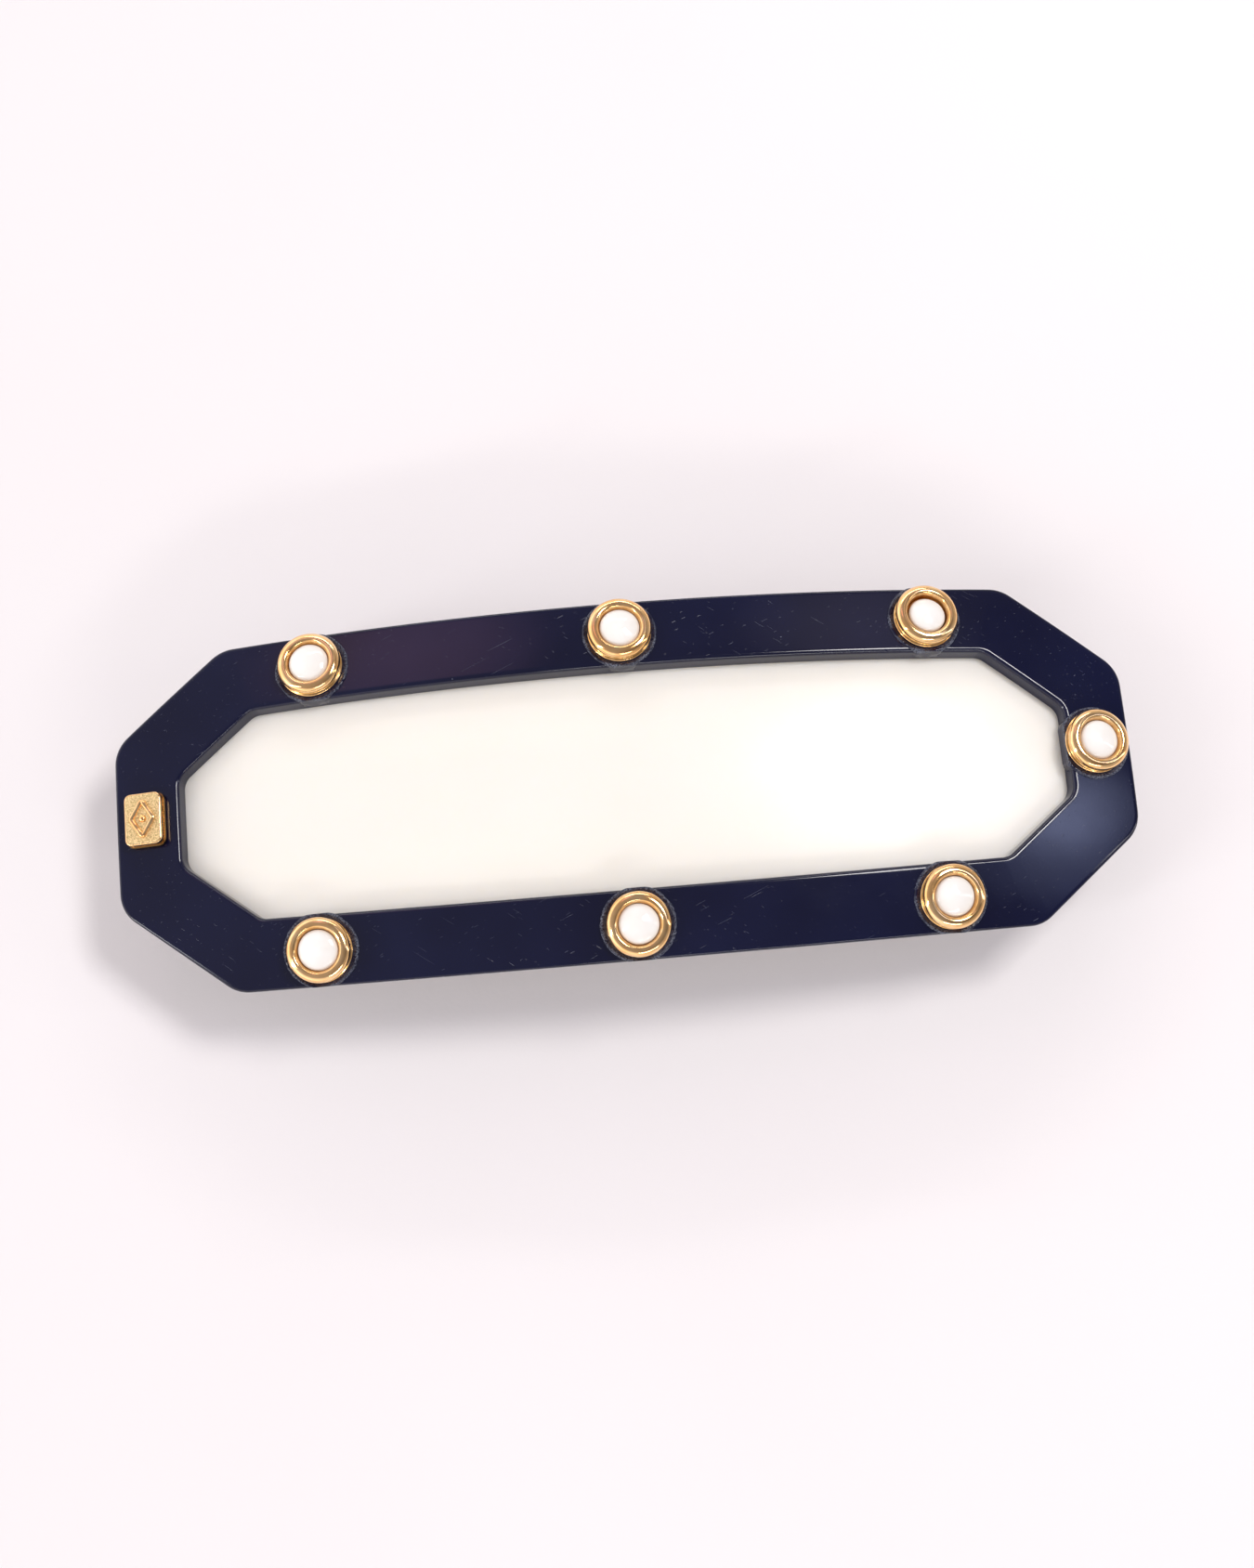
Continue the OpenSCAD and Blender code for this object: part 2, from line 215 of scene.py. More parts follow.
def hairlines(tree, length, width, turn, rarity):  # fine straight scratches, 0 or 1
    lines = grain(tree, 1.0, 0.0, space=surfaceSpace(tree, (length, width, width), turn))
    return ramp(tree, lines, [(rarity, 0.0), (rarity + 0.012, 1.0)])


def pit(tree, size, rarity):  # round specks of one size, 0 or 1
    sockets = {"Vector": surfaceSpace(tree), "Scale": 1.0 / (size * mm), "Randomness": 1.0}
    cells = addNode(tree, "ShaderNodeTexVoronoi", sockets)
    chosen = calculate(tree, "GREATER_THAN", cells.outputs["Color"], rarity)
    near = ramp(tree, cells.outputs["Distance"], [(0.02, 1.0), (0.05, 0.0)])
    return calculate(tree, "MULTIPLY", near, chosen)


def wearAndShadeMask(tree):  # the wear and painted shade that a piece carries at its points, 0 to 1
    return addNode(tree, "ShaderNodeAttribute", attribute_name="wearAndShade").outputs["Fac"]


def link(tree, source, shader, socket):
    tree.links.new(source, shader.inputs[socket])


navyLook = {
    "deep": (0.0008, 0.0014, 0.0180),
    "light": (0.0030, 0.0046, 0.0290),
    "scuff": (0.16, 0.18, 0.24),
}


def navyAcetate():
    material, tree, shader = newMaterial("navyAcetate", 0.12, IOR=1.49)
    cloud = ramp(tree, grain(tree, 14, 3.0), [(0.35, 0.0), (0.68, 1.0)])
    body = mixColour(tree, cloud, navyLook["deep"], navyLook["light"])
    longLines = hairlines(tree, 8.0, 0.08, 24, 0.832)
    shortLines = hairlines(tree, 5.0, 0.06, -37, 0.838)
    lines = calculate(tree, "ADD", longLines, shortLines, clamp=True)
    wearAndShade = wearAndShadeMask(tree)
    crumbs = ramp(tree, grain(tree, 0.16, 4.0, 0.7), [(0.42, 0.0), (0.60, 1.0)])
    rubbed = calculate(tree, "MULTIPLY", wearAndShade, crumbs)
    dust = pit(tree, 1.6, 0.82)
    pale = calculate(tree, "ADD", rubbed, calculate(tree, "MULTIPLY", dust, 0.7), clamp=True)
    pale = calculate(tree, "ADD", pale, calculate(tree, "MULTIPLY", lines, 0.2), clamp=True)
    link(tree, mixColour(tree, pale, body, navyLook["scuff"]), shader, "Base Color")
    haze = ramp(tree, grain(tree, 5.0, 4.0, 0.6), [(0.3, 0.07), (0.75, 0.14)])
    rough = calculate(tree, "ADD", haze, calculate(tree, "MULTIPLY", pale, 0.45), clamp=True)
    link(tree, rough, shader, "Roughness")
    wave = bump(tree, grain(tree, 6.0, 1.0), 0.012)
    fine = bump(tree, grain(tree, 0.25, 3.0, 0.6), 0.0012, below=wave)
    cut = bump(tree, calculate(tree, "SUBTRACT", 1.0, lines), 0.003, below=fine)
    worn = bump(tree, rubbed, 0.03, below=cut)
    link(tree, worn, shader, "Normal")
    return material


ivoryLook = {
    "body": (0.893, 0.858, 0.792),
    "cloud": (0.903, 0.871, 0.810),
    "specks": (0.55, 0.5, 0.42),
    "depth": 2.0,
}


def ivoryAcetate():
    material, tree, shader = newMaterial("ivoryAcetate", 0.25, IOR=1.40, Subsurface_Weight=0.7)
    shader.inputs["Subsurface Scale"].default_value = ivoryLook["depth"] * mm
    shader.inputs["Subsurface Radius"].default_value = (1.0, 0.95, 0.85)
    cloud = ramp(tree, grain(tree, 20, 2.0), [(0.35, 0.0), (0.65, 1.0)])
    body = mixColour(tree, cloud, ivoryLook["body"], ivoryLook["cloud"])
    specks = calculate(tree, "MULTIPLY", pit(tree, 2.3, 0.88), 0.35)
    link(tree, mixColour(tree, specks, body, ivoryLook["specks"]), shader, "Base Color")
    lines = hairlines(tree, 12.0, 0.10, 12, 0.85)
    haze = ramp(tree, grain(tree, 9.0, 3.0), [(0.3, 0.22), (0.7, 0.27)])
    link(tree, calculate(tree, "ADD", haze, calculate(tree, "MULTIPLY", lines, 0.1)), shader, "Roughness")
    wave = bump(tree, grain(tree, 9.0, 1.0), 0.012)
    fine = bump(tree, grain(tree, 0.2, 2.0), 0.0015, below=wave)
    link(tree, bump(tree, calculate(tree, "SUBTRACT", 1.0, lines), 0.002, below=fine), shader, "Normal")
    return material


goldLook = {
    "bright": (0.99, 0.69, 0.37),
    "deep": (0.96, 0.55, 0.22),
    # the darkest colour is painted shade for the cups' recesses
    "recessShade": (0.62, 0.33, 0.10),
}


def polishedGold():
    material, tree, shader = newMaterial("polishedGold", 0.16, 1.0)
    cloud = ramp(tree, grain(tree, 1.6, 3.0), [(0.35, 0.0), (0.65, 1.0)])
    tone = mixColour(tree, cloud, goldLook["bright"], goldLook["deep"])
    wearAndShade = wearAndShadeMask(tree)
    # painted shade: darker orange under each cup's roll and down the slope to its cabochon, patchy by noise
    paintedShade = calculate(tree, "MULTIPLY", wearAndShade, ramp(tree, grain(tree, 0.5, 3.0), [(0.30, 0.3), (0.6, 1.0)]))
    link(tree, mixColour(tree, paintedShade, tone, goldLook["recessShade"]), shader, "Base Color")
    haze = ramp(tree, grain(tree, 0.7, 4.0, 0.65), [(0.3, 0.09), (0.75, 0.17)])
    link(tree, calculate(tree, "ADD", haze, calculate(tree, "MULTIPLY", paintedShade, 0.1)), shader, "Roughness")
    wave = bump(tree, grain(tree, 1.6, 0.0), 0.002)
    fine = bump(tree, grain(tree, 0.10, 2.0, 0.5), 0.0009, below=wave)
    link(tree, fine, shader, "Normal")
    return material


sandLook = {
    # the hollow colour is painted shade and the crest colour a painted highlight on the sand grain; the
    # foot colour is partly brown tarnish and partly painted shade
    "shadedHollow": (0.50, 0.34, 0.14),
    "crest": (1.0, 0.77, 0.42),
    "wall": (0.96, 0.64, 0.32),
    "foot": (0.34, 0.19, 0.07),
}


def sandedGold():  # sanded on top, with painted shade in the sand's hollows and a painted highlight on its crests; polished walls; and a foot that is dark partly from brown tarnish and partly from painted shade
    material, tree, shader = newMaterial("sandedGold", 0.42, 1.0)
    sand = grain(tree, 0.13, 4.0, 0.72)
    wearAndShade = wearAndShadeMask(tree)
    smooth = ramp(tree, wearAndShade, [(0.15, 0.0), (0.35, 1.0)])
    # painted shade in the sand's hollows and a painted highlight on its raised grains
    raisedPart = ramp(tree, sand, [(0.40, 0.0), (0.58, 1.0)])
    shadedSpeckle = mixColour(tree, raisedPart, sandLook["shadedHollow"], sandLook["crest"])
    # the lower tier's dark colour: partly brown tarnish, partly painted shade
    footTarnishAndShade = ramp(tree, wearAndShade, [(0.6, 0.0), (0.9, 1.0)])
    polished = mixColour(tree, footTarnishAndShade, sandLook["wall"], sandLook["foot"])
    link(tree, mixColour(tree, smooth, shadedSpeckle, polished), shader, "Base Color")
    rough = calculate(tree, "SUBTRACT", ramp(tree, sand, [(0.3, 0.50), (0.7, 0.30)]), smooth, clamp=True)
    link(tree, calculate(tree, "MAXIMUM", rough, 0.14), shader, "Roughness")
    raised = calculate(tree, "MULTIPLY", sand, calculate(tree, "SUBTRACT", 1.0, smooth))
    link(tree, bump(tree, raised, 0.06), shader, "Normal")
    return material


cabochonLook = {
    "body": (0.875, 0.85, 0.81),
    "cloud": (0.905, 0.89, 0.865),
}


def whiteCabochon():
    material, tree, shader = newMaterial("whiteCabochon", 0.1, IOR=1.52)
    cloud = ramp(tree, grain(tree, 1.8, 2.0), [(0.35, 0.0), (0.65, 1.0)])
    link(tree, mixColour(tree, cloud, cabochonLook["body"], cabochonLook["cloud"]), shader, "Base Color")
    link(tree, ramp(tree, grain(tree, 0.5, 3.0), [(0.3, 0.07), (0.7, 0.14)]), shader, "Roughness")
    link(tree, bump(tree, grain(tree, 1.1, 2.0), 0.008), shader, "Normal")
    return material


steelLook = {
    "dull": (0.60, 0.58, 0.54),
    "bright": (0.70, 0.69, 0.66),
    "spots": (0.30, 0.27, 0.23),
}


def clipSteel():
    material, tree, shader = newMaterial("clipSteel", 0.28, 1.0)
    brushed = grain(tree, 1.0, 3.0, 0.6, surfaceSpace(tree, (4.0, 0.05, 0.05)))
    cloud = ramp(tree, grain(tree, 5.0, 3.0), [(0.35, 0.0), (0.65, 1.0)])
    tone = mixColour(tree, cloud, steelLook["dull"], steelLook["bright"])
    spots = pit(tree, 1.3, 0.82)
    link(tree, mixColour(tree, spots, tone, steelLook["spots"]), shader, "Base Color")
    link(tree, ramp(tree, brushed, [(0.3, 0.20), (0.7, 0.36)]), shader, "Roughness")
    link(tree, bump(tree, brushed, 0.004), shader, "Normal")
    return material


looks = {
    "navy_acetate": navyAcetate(),
    "ivory_acetate": ivoryAcetate(),
    "polished_gold": polishedGold(),
    "matte_gold": sandedGold(),
    "white_cabochon": whiteCabochon(),
    "clip_steel": clipSteel(),
}
print("materials made:", len(looks))


# Mesh helpers

def makePiece(name, parts, slot, stands=(), body="face_and_clip", sharp=40.0, bevel=0.0, wearAndShade=None):
    mesh = bpy.data.meshes.new(name)
    mesh.from_pydata(parts[0], [], parts[1])
    # the per-point mask holds real wear on the seats and painted shade on the gold cups and the tile's foot
    if wearAndShade:
        mesh.attributes.new("wearAndShade", "FLOAT", "POINT").data.foreach_set("value", wearAndShade)
    shape = bmesh.new()
    shape.from_mesh(mesh)
    loose = [vertex for vertex in shape.verts if not vertex.link_faces]
    bmesh.ops.delete(shape, geom=loose, context="VERTS")
    bmesh.ops.recalc_face_normals(shape, faces=shape.faces)
    for side in shape.faces:
        side.smooth = True
    for edge in shape.edges:
        edge.smooth = edge.calc_face_angle(0.0) < math.radians(sharp)
    shape.to_mesh(mesh)
    shape.free()
    piece = bpy.data.objects.new(name, mesh)
    scene.collection.objects.link(piece)
    mesh.materials.append(looks[slot])
    if bevel:
        rounding = piece.modifiers.new("edges", "BEVEL")
        rounding.width = bevel * mm
        rounding.segments = 2
        rounding.limit_method = "ANGLE"
        rounding.angle_limit = math.radians(sharp)
        mesh.set_sharp_from_angle(angle=math.pi)
    shading = piece.modifiers.new("shading", "WEIGHTED_NORMAL")
    shading.keep_sharp = True
    shading.weight = 60
    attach(piece, body)
    if stands:
        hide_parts(*stands)


def makeSteel(name, parts, stands=(), bevel=0.0, **settings):
    makePiece(name, parts, "clip_steel", stands, bevel=bevel, **settings)


def loftFaces(rows, columns, wrap=False):  # quads between closed loops of equal length
    faces = []
    for row in range(rows if wrap else rows - 1):
        after = (row + 1) % rows
        for column in range(columns):
            right = (column + 1) % columns
            near, far = row * columns, after * columns
            faces.append((near + column, near + right, far + right, far + column))
    return faces


def cappedFaces(rows, columns):  # the same, closed by a point before the first loop and after the last
    faces = [tuple(index + 1 for index in quad) for quad in loftFaces(rows, columns)]
    last = rows * columns + 1
    for step in range(columns):
        right = (step + 1) % columns
        faces.append((0, 1 + right, 1 + step))
        faces.append((last, last - columns + step, last - columns + right))
    return faces


def revolve(profile, segments, place, shape=None):  # profile from pole to pole, as (radius, height)
    vertices = [place @ Vector((0, 0, profile[0][1] * mm))]
    for radius, height in profile[1:-1]:
        for step in range(segments):
            angle = 2 * math.pi * step / segments
            point = Vector((radius * math.cos(angle), radius * math.sin(angle), height))
            if shape:
                point = shape(point)
            vertices.append(place @ (point * mm))
    vertices.append(place @ Vector((0, 0, profile[-1][1] * mm)))
    return vertices, cappedFaces(len(profile) - 2, segments)


def arcPoints(centre, radius, start, end, steps):  # angles in degrees, as (radius, height) pairs
    points = []
    for step in range(steps + 1):
        angle = math.radians(start + (end - start) * step / steps)
        points.append((centre[0] + radius * math.cos(angle), centre[1] + radius * math.sin(angle)))
    return points


def sheet(path, columns, thickness, keep=None):  # bent sheet metal: path rows are (middle, normal, side)
    across = len(columns)
    vertices = []
    for share in (0.5, -0.5):
        for middle, normal, side in path:
            for column in columns:
                vertices.append(middle + side * column + normal * (thickness * share * mm))
    rows = len(path)
    lower = rows * across

    def kept(row, column):
        if not (0 <= row < rows - 1 and 0 <= column < across - 1):
            return False
        return keep is None or keep(row, column)

    faces = []
    for row in range(rows - 1):
        for column in range(across - 1):
            if not kept(row, column):
                continue
            corners = [
                row * across + column,
                row * across + column + 1,
                (row + 1) * across + column + 1,
                (row + 1) * across + column,
            ]
            faces.append(tuple(corners))
            faces.append(tuple(corner + lower for corner in reversed(corners)))
            beyond = ((row - 1, column), (row, column + 1), (row + 1, column), (row, column - 1))
            for side, neighbour in enumerate(beyond):
                if not kept(*neighbour):
                    first, second = corners[side], corners[(side + 1) % 4]
                    faces.append((second, first, first + lower, second + lower))
    return vertices, faces


# Outlines: a quarter of the octagon, mirrored round

def toward(angle):  # one unit long, at this angle in radians
    return Vector((math.cos(angle), math.sin(angle)))


def cornerArc(before, corner, after, radius, steps=10):
    back = (before - corner).normalized()
    ahead = (after - corner).normalized()
    half = back.angle(ahead) / 2
    middle = corner + (back + ahead).normalized() * (radius / math.sin(half))
    first = corner + back * (radius / math.tan(half)) - middle
    last = corner + ahead * (radius / math.tan(half)) - middle
    start = math.atan2(first.y, first.x)
    sweep = (math.atan2(last.y, last.x) - start + 3 * math.pi) % (2 * math.pi) - math.pi
    angles = [start + sweep * step / steps for step in range(steps + 1)]
    return [middle + toward(angle) * radius for angle in angles]


def quarterOutline(length, width, cornerX, cornerY, radius, bowSteps=22):
    bowed = [
        Vector((cornerX * step / bowSteps, width - face["sideBow"] * (step / bowSteps) ** 2))
        for step in range(bowSteps - 1)
    ]
    shoulder = Vector((cornerX, width - face["sideBow"]))
    tip = Vector((length, cornerY))
    first = cornerArc(bowed[-1], shoulder, tip, radius)
    second = cornerArc(shoulder, tip, Vector((length, -cornerY)), radius)
    slope = [first[-1].lerp(second[0], step / 10) for step in range(1, 10)]
    end = [Vector((length, second[-1].y * (1 - step / 7))) for step in range(1, 7)]
    return bowed + first + slope + second + end


def wholeOutline(quarter):
    last = len(quarter) - 1
    loop = list(quarter)
    loop += [Vector((quarter[i].x, -quarter[i].y)) for i in range(last, -1, -1)]
    loop += [-quarter[i] for i in range(1, last + 1)]
    loop += [Vector((-quarter[i].x, quarter[i].y)) for i in range(last, 0, -1)]
    return loop


def moveIn(loop, distance):  # the loop moved inwards along its own normals
    moved = []
    for index, point in enumerate(loop):
        chord = (loop[(index + 1) % len(loop)] - loop[index - 1]).normalized()
        moved.append(point + Vector((chord.y, -chord.x)) * distance)
    return moved


def faceOutlines():
    halfLength = face["length"] / 2
    halfWidth = face["width"] / 2
    cornerX = halfLength - face["cornerLength"]
    edgeY = face["endEdge"] / 2
    slopeWidth = halfWidth - face["sideBow"] - edgeY
    normal = Vector((slopeWidth, face["cornerLength"])).normalized()
    reach = normal.dot(Vector((halfLength, edgeY))) - face["cornerRim"]
    windowLength = halfLength - face["endRim"]
    windowWidth = halfWidth - face["sideRim"]
    windowX = (reach - normal.y * (windowWidth - face["sideBow"])) / normal.x
    windowY = (reach - normal.x * windowLength) / normal.y
    outer = quarterOutline(halfLength, halfWidth, cornerX, edgeY, face["outerRound"])
    window = quarterOutline(windowLength, windowWidth, windowX, windowY, face["windowRound"])
    beyond = []
    for lap in (face["ledge"], face["ledge"] - face["play"]):
        corner = (windowX + lap * 0.4, windowY + lap * 0.4)
        beyond.append(quarterOutline(windowLength + lap, windowWidth + lap, *corner, face["windowRound"]))
    return outer, window, *beyond


outerQuarter, windowQuarter, rebateQuarter, plateQuarter = faceOutlines()

ring = {
    "outerFillet": 0.28,
    "innerFillet": 0.42,
    "backFillet": 0.75,
    "rebateChamfer": 0.15,
    "rows": 9,
    "wallRows": (-2.4, -1.6, -0.7),
    "windowRows": (-1.0, -1.4),
    "ripple": 0.010,
    "rippleSize": 7,
}


def buildRing():
    outer = wholeOutline(outerQuarter)
    window = wholeOutline(windowQuarter)
    rebate = wholeOutline(rebateQuarter)
    depth = face["thickness"]
    seatZ = face["panelDepth"] - face["play"]
    rows = []  # each row is a loop in plan and its height
    back = ring["backFillet"]
    for step in range(5):
        angle = math.radians(90 * step / 4)
        rows.append((moveIn(outer, back * (1 - math.sin(angle))), -depth + back * (1 - math.cos(angle))))
    for height in ring["wallRows"]:
        rows.append((outer, height))
    radius = ring["outerFillet"]
    for step in range(7):
        angle = math.radians(90 * step / 6)
        rows.append((moveIn(outer, radius * (1 - math.cos(angle))), -radius * (1 - math.sin(angle))))
    outerTop = moveIn(outer, radius)
    radius = ring["innerFillet"]
    windowTop = moveIn(window, -radius)
    for row in range(1, ring["rows"]):
        share = row / ring["rows"]
        share -= 0.12 * math.sin(2 * math.pi * share)  # rows gather near the two fillets
        rows.append(([a.lerp(b, share) for a, b in zip(outerTop, windowTop)], 0.0))
    for step in range(9):
        angle = math.radians(90 * step / 8)
        rows.append((moveIn(window, -radius * (1 - math.sin(angle))), -radius * (1 - math.cos(angle))))
    for height in ring["windowRows"]:
        rows.append((window, height))
    rows.append((window, -seatZ))
    rows.append((rebate, -seatZ))
    chamfer = ring["rebateChamfer"]
    rows.append((rebate, -depth + chamfer))
    rebateBack = moveIn(rebate, -chamfer)
    outerBack = moveIn(outer, back)
    for share in (0.0, 0.5):
        rows.append(([a.lerp(b, share) for a, b in zip(rebateBack, outerBack)], -depth))

    vertices = []
    for loop, height in rows:
        for point in loop:
            ripple = 0.0
            if height > -0.8:
                ripple = ring["ripple"] * noise.noise(Vector((*(point / ring["rippleSize"]), 1.5)))
            vertices.append(facePoint(point.x, point.y, height + ripple))
    faces = loftFaces(len(rows), len(outer), wrap=True)
    makePiece("navyRing", (vertices, faces), "navy_acetate", ["navy_frame"], sharp=50)


buildRing()

panel = {
    "edge": 0.15,
    "across": [-1.0, -0.985, -0.9, -0.7, -0.45, -0.2, 0.0, 0.2, 0.45, 0.7, 0.9, 0.985, 1.0],
}


def buildPanel():
    half = [Vector((-point.x, point.y)) for point in reversed(plateQuarter[1:])] + plateQuarter
    vertices = []
    for height in (-face["panelDepth"], -face["thickness"]):
        for column in half:
            for share in panel["across"]:
                vertices.append(facePoint(column.x, column.y * share, height))
    columns, rows = len(half), len(panel["across"])
    below = columns * rows
    faces = []
    for column in range(columns - 1):
        for row in range(rows - 1):
            first = column * rows + row
            quad = (first, first + 1, first + rows + 1, first + rows)
            faces.append(quad)
            faces.append(tuple(index + below for index in reversed(quad)))
        for row in (0, rows - 1):
            first = column * rows + row
            faces.append((first, first + rows, first + rows + below, first + below))
    for column in (0, columns - 1):
        for row in range(rows - 1):
            first = column * rows + row
            faces.append((first, first + 1, first + 1 + below, first + below))
    makePiece("ivoryPlate", (vertices, faces), "ivory_acetate", ["ivory_panel"], bevel=panel["edge"])


buildPanel()
print("ring and plate made")

# Seven studs: a navy seat, a gold cup with a rolled rim, and a white cabochon in each
stud = {
    "count": 7,
    "seatRadius": 3.65,
    "seatRise": 0.12,
    "seatDepth": 1.35,
    "seatBulge": 0.10,
    "seatSegments": 180,
    "cupBase": 0.17,
    "pearlBase": 0.67,
    "pearlRadius": 1.945,
    "domeFoot": 0.50,
    "domeHeight": 0.80,
    "shankRadius": 1.2,
    "shankDepth": 1.62,
    "flange": 2.98,
    "flangeThick": 0.12,
    "neck": 2.81,
    "well": 1.96,
    "crest": 2.38,
    "rollOut": 0.72,
    "rollIn": 0.415,
    "rollMiddle": 0.97,
    "rollRise": 0.64,
    "rollDrop": 0.36,
    "segments": 96,
    "rimWobble": 0.012,
    "seatWobble": 0.12,
    "pearlSet": [  # lean in degrees, shift across and along, shrink
        (0, 0, 0, 0, 1), (-1, 1, 0, 0, 1), (-4, 2, -0.02, -0.13, 0.93), (1, 2, 0, 0, 1),
        (2, 0, 0, 0, 1), (-1, -1, 0, 0, 1), (1, 1, 0, 0, 1),
    ],
}


def seatRoom(spot):  # how far the seat may reach each way before it leaves the rim
    free = 2 * stud["seatRadius"]  # no edge on that side
    if abs(spot[1]) < stud["seatRadius"]:
        toEnd = face["length"] / 2 - spot[0]
        return (toEnd - face["endRim"] - 0.08, toEnd + 0.1, -free, free)
    halfWidth = face["width"] / 2 - face["sideBow"] * (spot[0] / 38) ** 2
    outward = halfWidth - abs(spot[1]) + stud["seatBulge"]
    inward = face["sideRim"] - outward + 2 * stud["seatBulge"]
    if spot[1] > 0:
        return (-free, free, -inward, outward)
    return (-free, free, -outward, inward)


def buildSeat(name, spot):
    radius, rise, depth = stud["seatRadius"], stud["seatRise"], stud["seatDepth"]
    room = seatRoom(spot)
    profile = [(0, rise), (1.5, rise), (3.0, rise), (radius - 0.34, rise), (radius - 0.26, rise + 0.035)]
    profile += [(radius - 0.16, rise + 0.05), (radius - 0.07, rise + 0.01), (radius - 0.01, rise - 0.09)]
    profile += [(radius, rise - 0.22), (radius, -0.5), (radius - 0.03, -depth + 0.15)]
    profile += [(radius - 0.2, -depth), (0, -depth)]

    def crumble(point):  # the rim is uneven and a little torn
        out = math.hypot(point.x, point.y)
        share = max(0.0, (out - radius + 0.4) / 0.4)
        around = Vector((point.x, point.y, 0)) / radius
        slow = noise.noise(around * 2.2 + Vector((spot[0], spot[1], 0)))
        quick = noise.noise(around * 11 + Vector((spot[1], spot[0], 3)))
        shift = stud["seatWobble"] * share * (0.55 * slow + 0.35 * quick - 0.15)
        point = Vector((point.x * (1 + shift / radius), point.y * (1 + shift / radius), point.z))
        point.x = min(max(point.x, room[0]), room[1])
        point.y = min(max(point.y, room[2]), room[3])
        if point.z > 0:
            point.z += 0.05 * share * noise.noise(around * 14 + Vector((0, 0, spot[0])))
        return point

    segments = stud["seatSegments"]
    parts = revolve(profile, segments, facePlace(*spot), crumble)
    wearAndShade = [0.0]
    for out, height in profile[1:-1]:
        edge = min(1.0, max(0.0, (out - radius + 0.42) / 0.2)) if height > -0.3 else 0.0
        for step in range(segments):
            angle = 2 * math.pi * step / segments
            patch = noise.noise(Vector((3 * math.cos(angle), 3 * math.sin(angle), spot[0] + spot[1])))
            wearAndShade.append(edge * min(1.0, max(0.0, 0.55 + 1.1 * patch)))
    wearAndShade.append(0.0)
    makePiece(name, parts, "navy_acetate", sharp=60, wearAndShade=wearAndShade)


def buildCup(name, node, spot):
    shank, deep = stud["shankRadius"], -stud["shankDepth"]
    flange, thick = stud["flange"], stud["flangeThick"]
    neck, well = stud["neck"], stud["well"]
    profile = [(0, deep), (shank - 0.1, deep), (shank, deep + 0.12)]
    profile += [(shank, 0.09 - thick), (flange - 0.08, 0.09 - thick)]
    profile += arcPoints((flange, 0.09), thick, -90, 60, 6)  # thin foot flange
    profile += [(neck + 0.12, 0.24), (neck + 0.05, 0.30), (neck + 0.01, 0.42), (neck, 0.56), (neck, 0.66)]
    for step in range(29):  # fat rolled rim, steeper on its inner side
        angle = math.radians(-46 + 226 * step / 28)
        reach = stud["rollOut"] if math.cos(angle) > 0 else stud["rollIn"]
        rise = stud["rollRise"] if angle > 0 else stud["rollDrop"]
        out = stud["crest"] + reach * math.cos(angle)
        profile.append((out, stud["rollMiddle"] + rise * math.sin(angle)))
    profile += [(well, 0.90), (well - 0.002, 0.52), (well - 0.06, 0.46), (0, 0.45)]

    def wobble(point):  # stamped by hand, so the roll isn't perfectly even
        out = math.hypot(point.x, point.y)
        if point.z < 0 or out < well + 0.02:
            return point
        around = Vector((point.x / out, point.y / out, 0)) * 1.6 + Vector((spot[0], spot[1], 0))
        slow = noise.noise(around) * stud["rimWobble"]
        fine = noise.noise(Vector((point.x, point.y, point.z)) * 1.9 + Vector(spot + (0,))) * 0.002
        scale = 1 + (slow + fine) / out
        return Vector((point.x * scale, point.y * scale, point.z + slow * 0.7 + fine))

    parts = revolve(profile, stud["segments"], facePlace(*spot, stud["cupBase"]), wobble)
    wearAndShade = [0.0]
    for out, height in profile[1:-1]:  # painted shade under the roll, and on the slope down to the cabochon
        paintedShade = 1.0 if 0.18 < height < 0.56 and out > well + 0.04 else 0.0
        if height > 0:
            paintedShade = max(paintedShade, 0.8 * min(1.0, max(0.0, (stud["crest"] - 0.02 - out) / 0.25)))
        wearAndShade += [paintedShade] * stud["segments"]
    # painted shade under the cabochon
    wearAndShade.append(0.6)
    makePiece(name, parts, "polished_gold", [node], sharp=55, wearAndShade=wearAndShade)


def buildPearl(name, node, spot, placing):
    leanX, leanY, shiftX, shiftY, shrink = placing
    radius, foot, rise = stud["pearlRadius"] * shrink, stud["domeFoot"], stud["domeHeight"]
    profile = [(0, 0.03), (radius - 0.12, 0.03), (radius - 0.03, 0.07), (radius, 0.16)]
    for step in range(17):
        angle = math.radians(90 * step / 17)
        bulge = 1 - 0.10 * math.sin(2 * angle) ** 2  # a little flatter than an ellipse at the shoulder
        out = radius * math.cos(angle) * (1 - 0.02 * math.sin(2 * angle))
        profile.append((out, foot + rise * math.sin(angle) * bulge))
    profile.append((0, foot + rise))
    tilt = Euler((math.radians(leanX), math.radians(leanY), 0)).to_matrix().to_4x4()
    shift = Matrix.Translation((shiftX * mm, shiftY * mm, 0))
    place = facePlace(*spot, stud["pearlBase"]) @ shift @ tilt
    makePiece(name, revolve(profile, stud["segments"], place), "white_cabochon", [node], sharp=60)


def buildStuds():
    for number in range(1, stud["count"] + 1):
        cupNode, pearlNode = f"stud_cup_{number}", f"stud_pearl_{number}"
        spot = nodeSpot(pearlNode)
        buildSeat(f"studSeat_{number}", spot)
        buildCup(f"studCup_{number}", cupNode, spot)
        buildPearl(f"studPearl_{number}", pearlNode, spot, stud["pearlSet"][number - 1])


buildStuds()
print("studs made:", stud["count"])

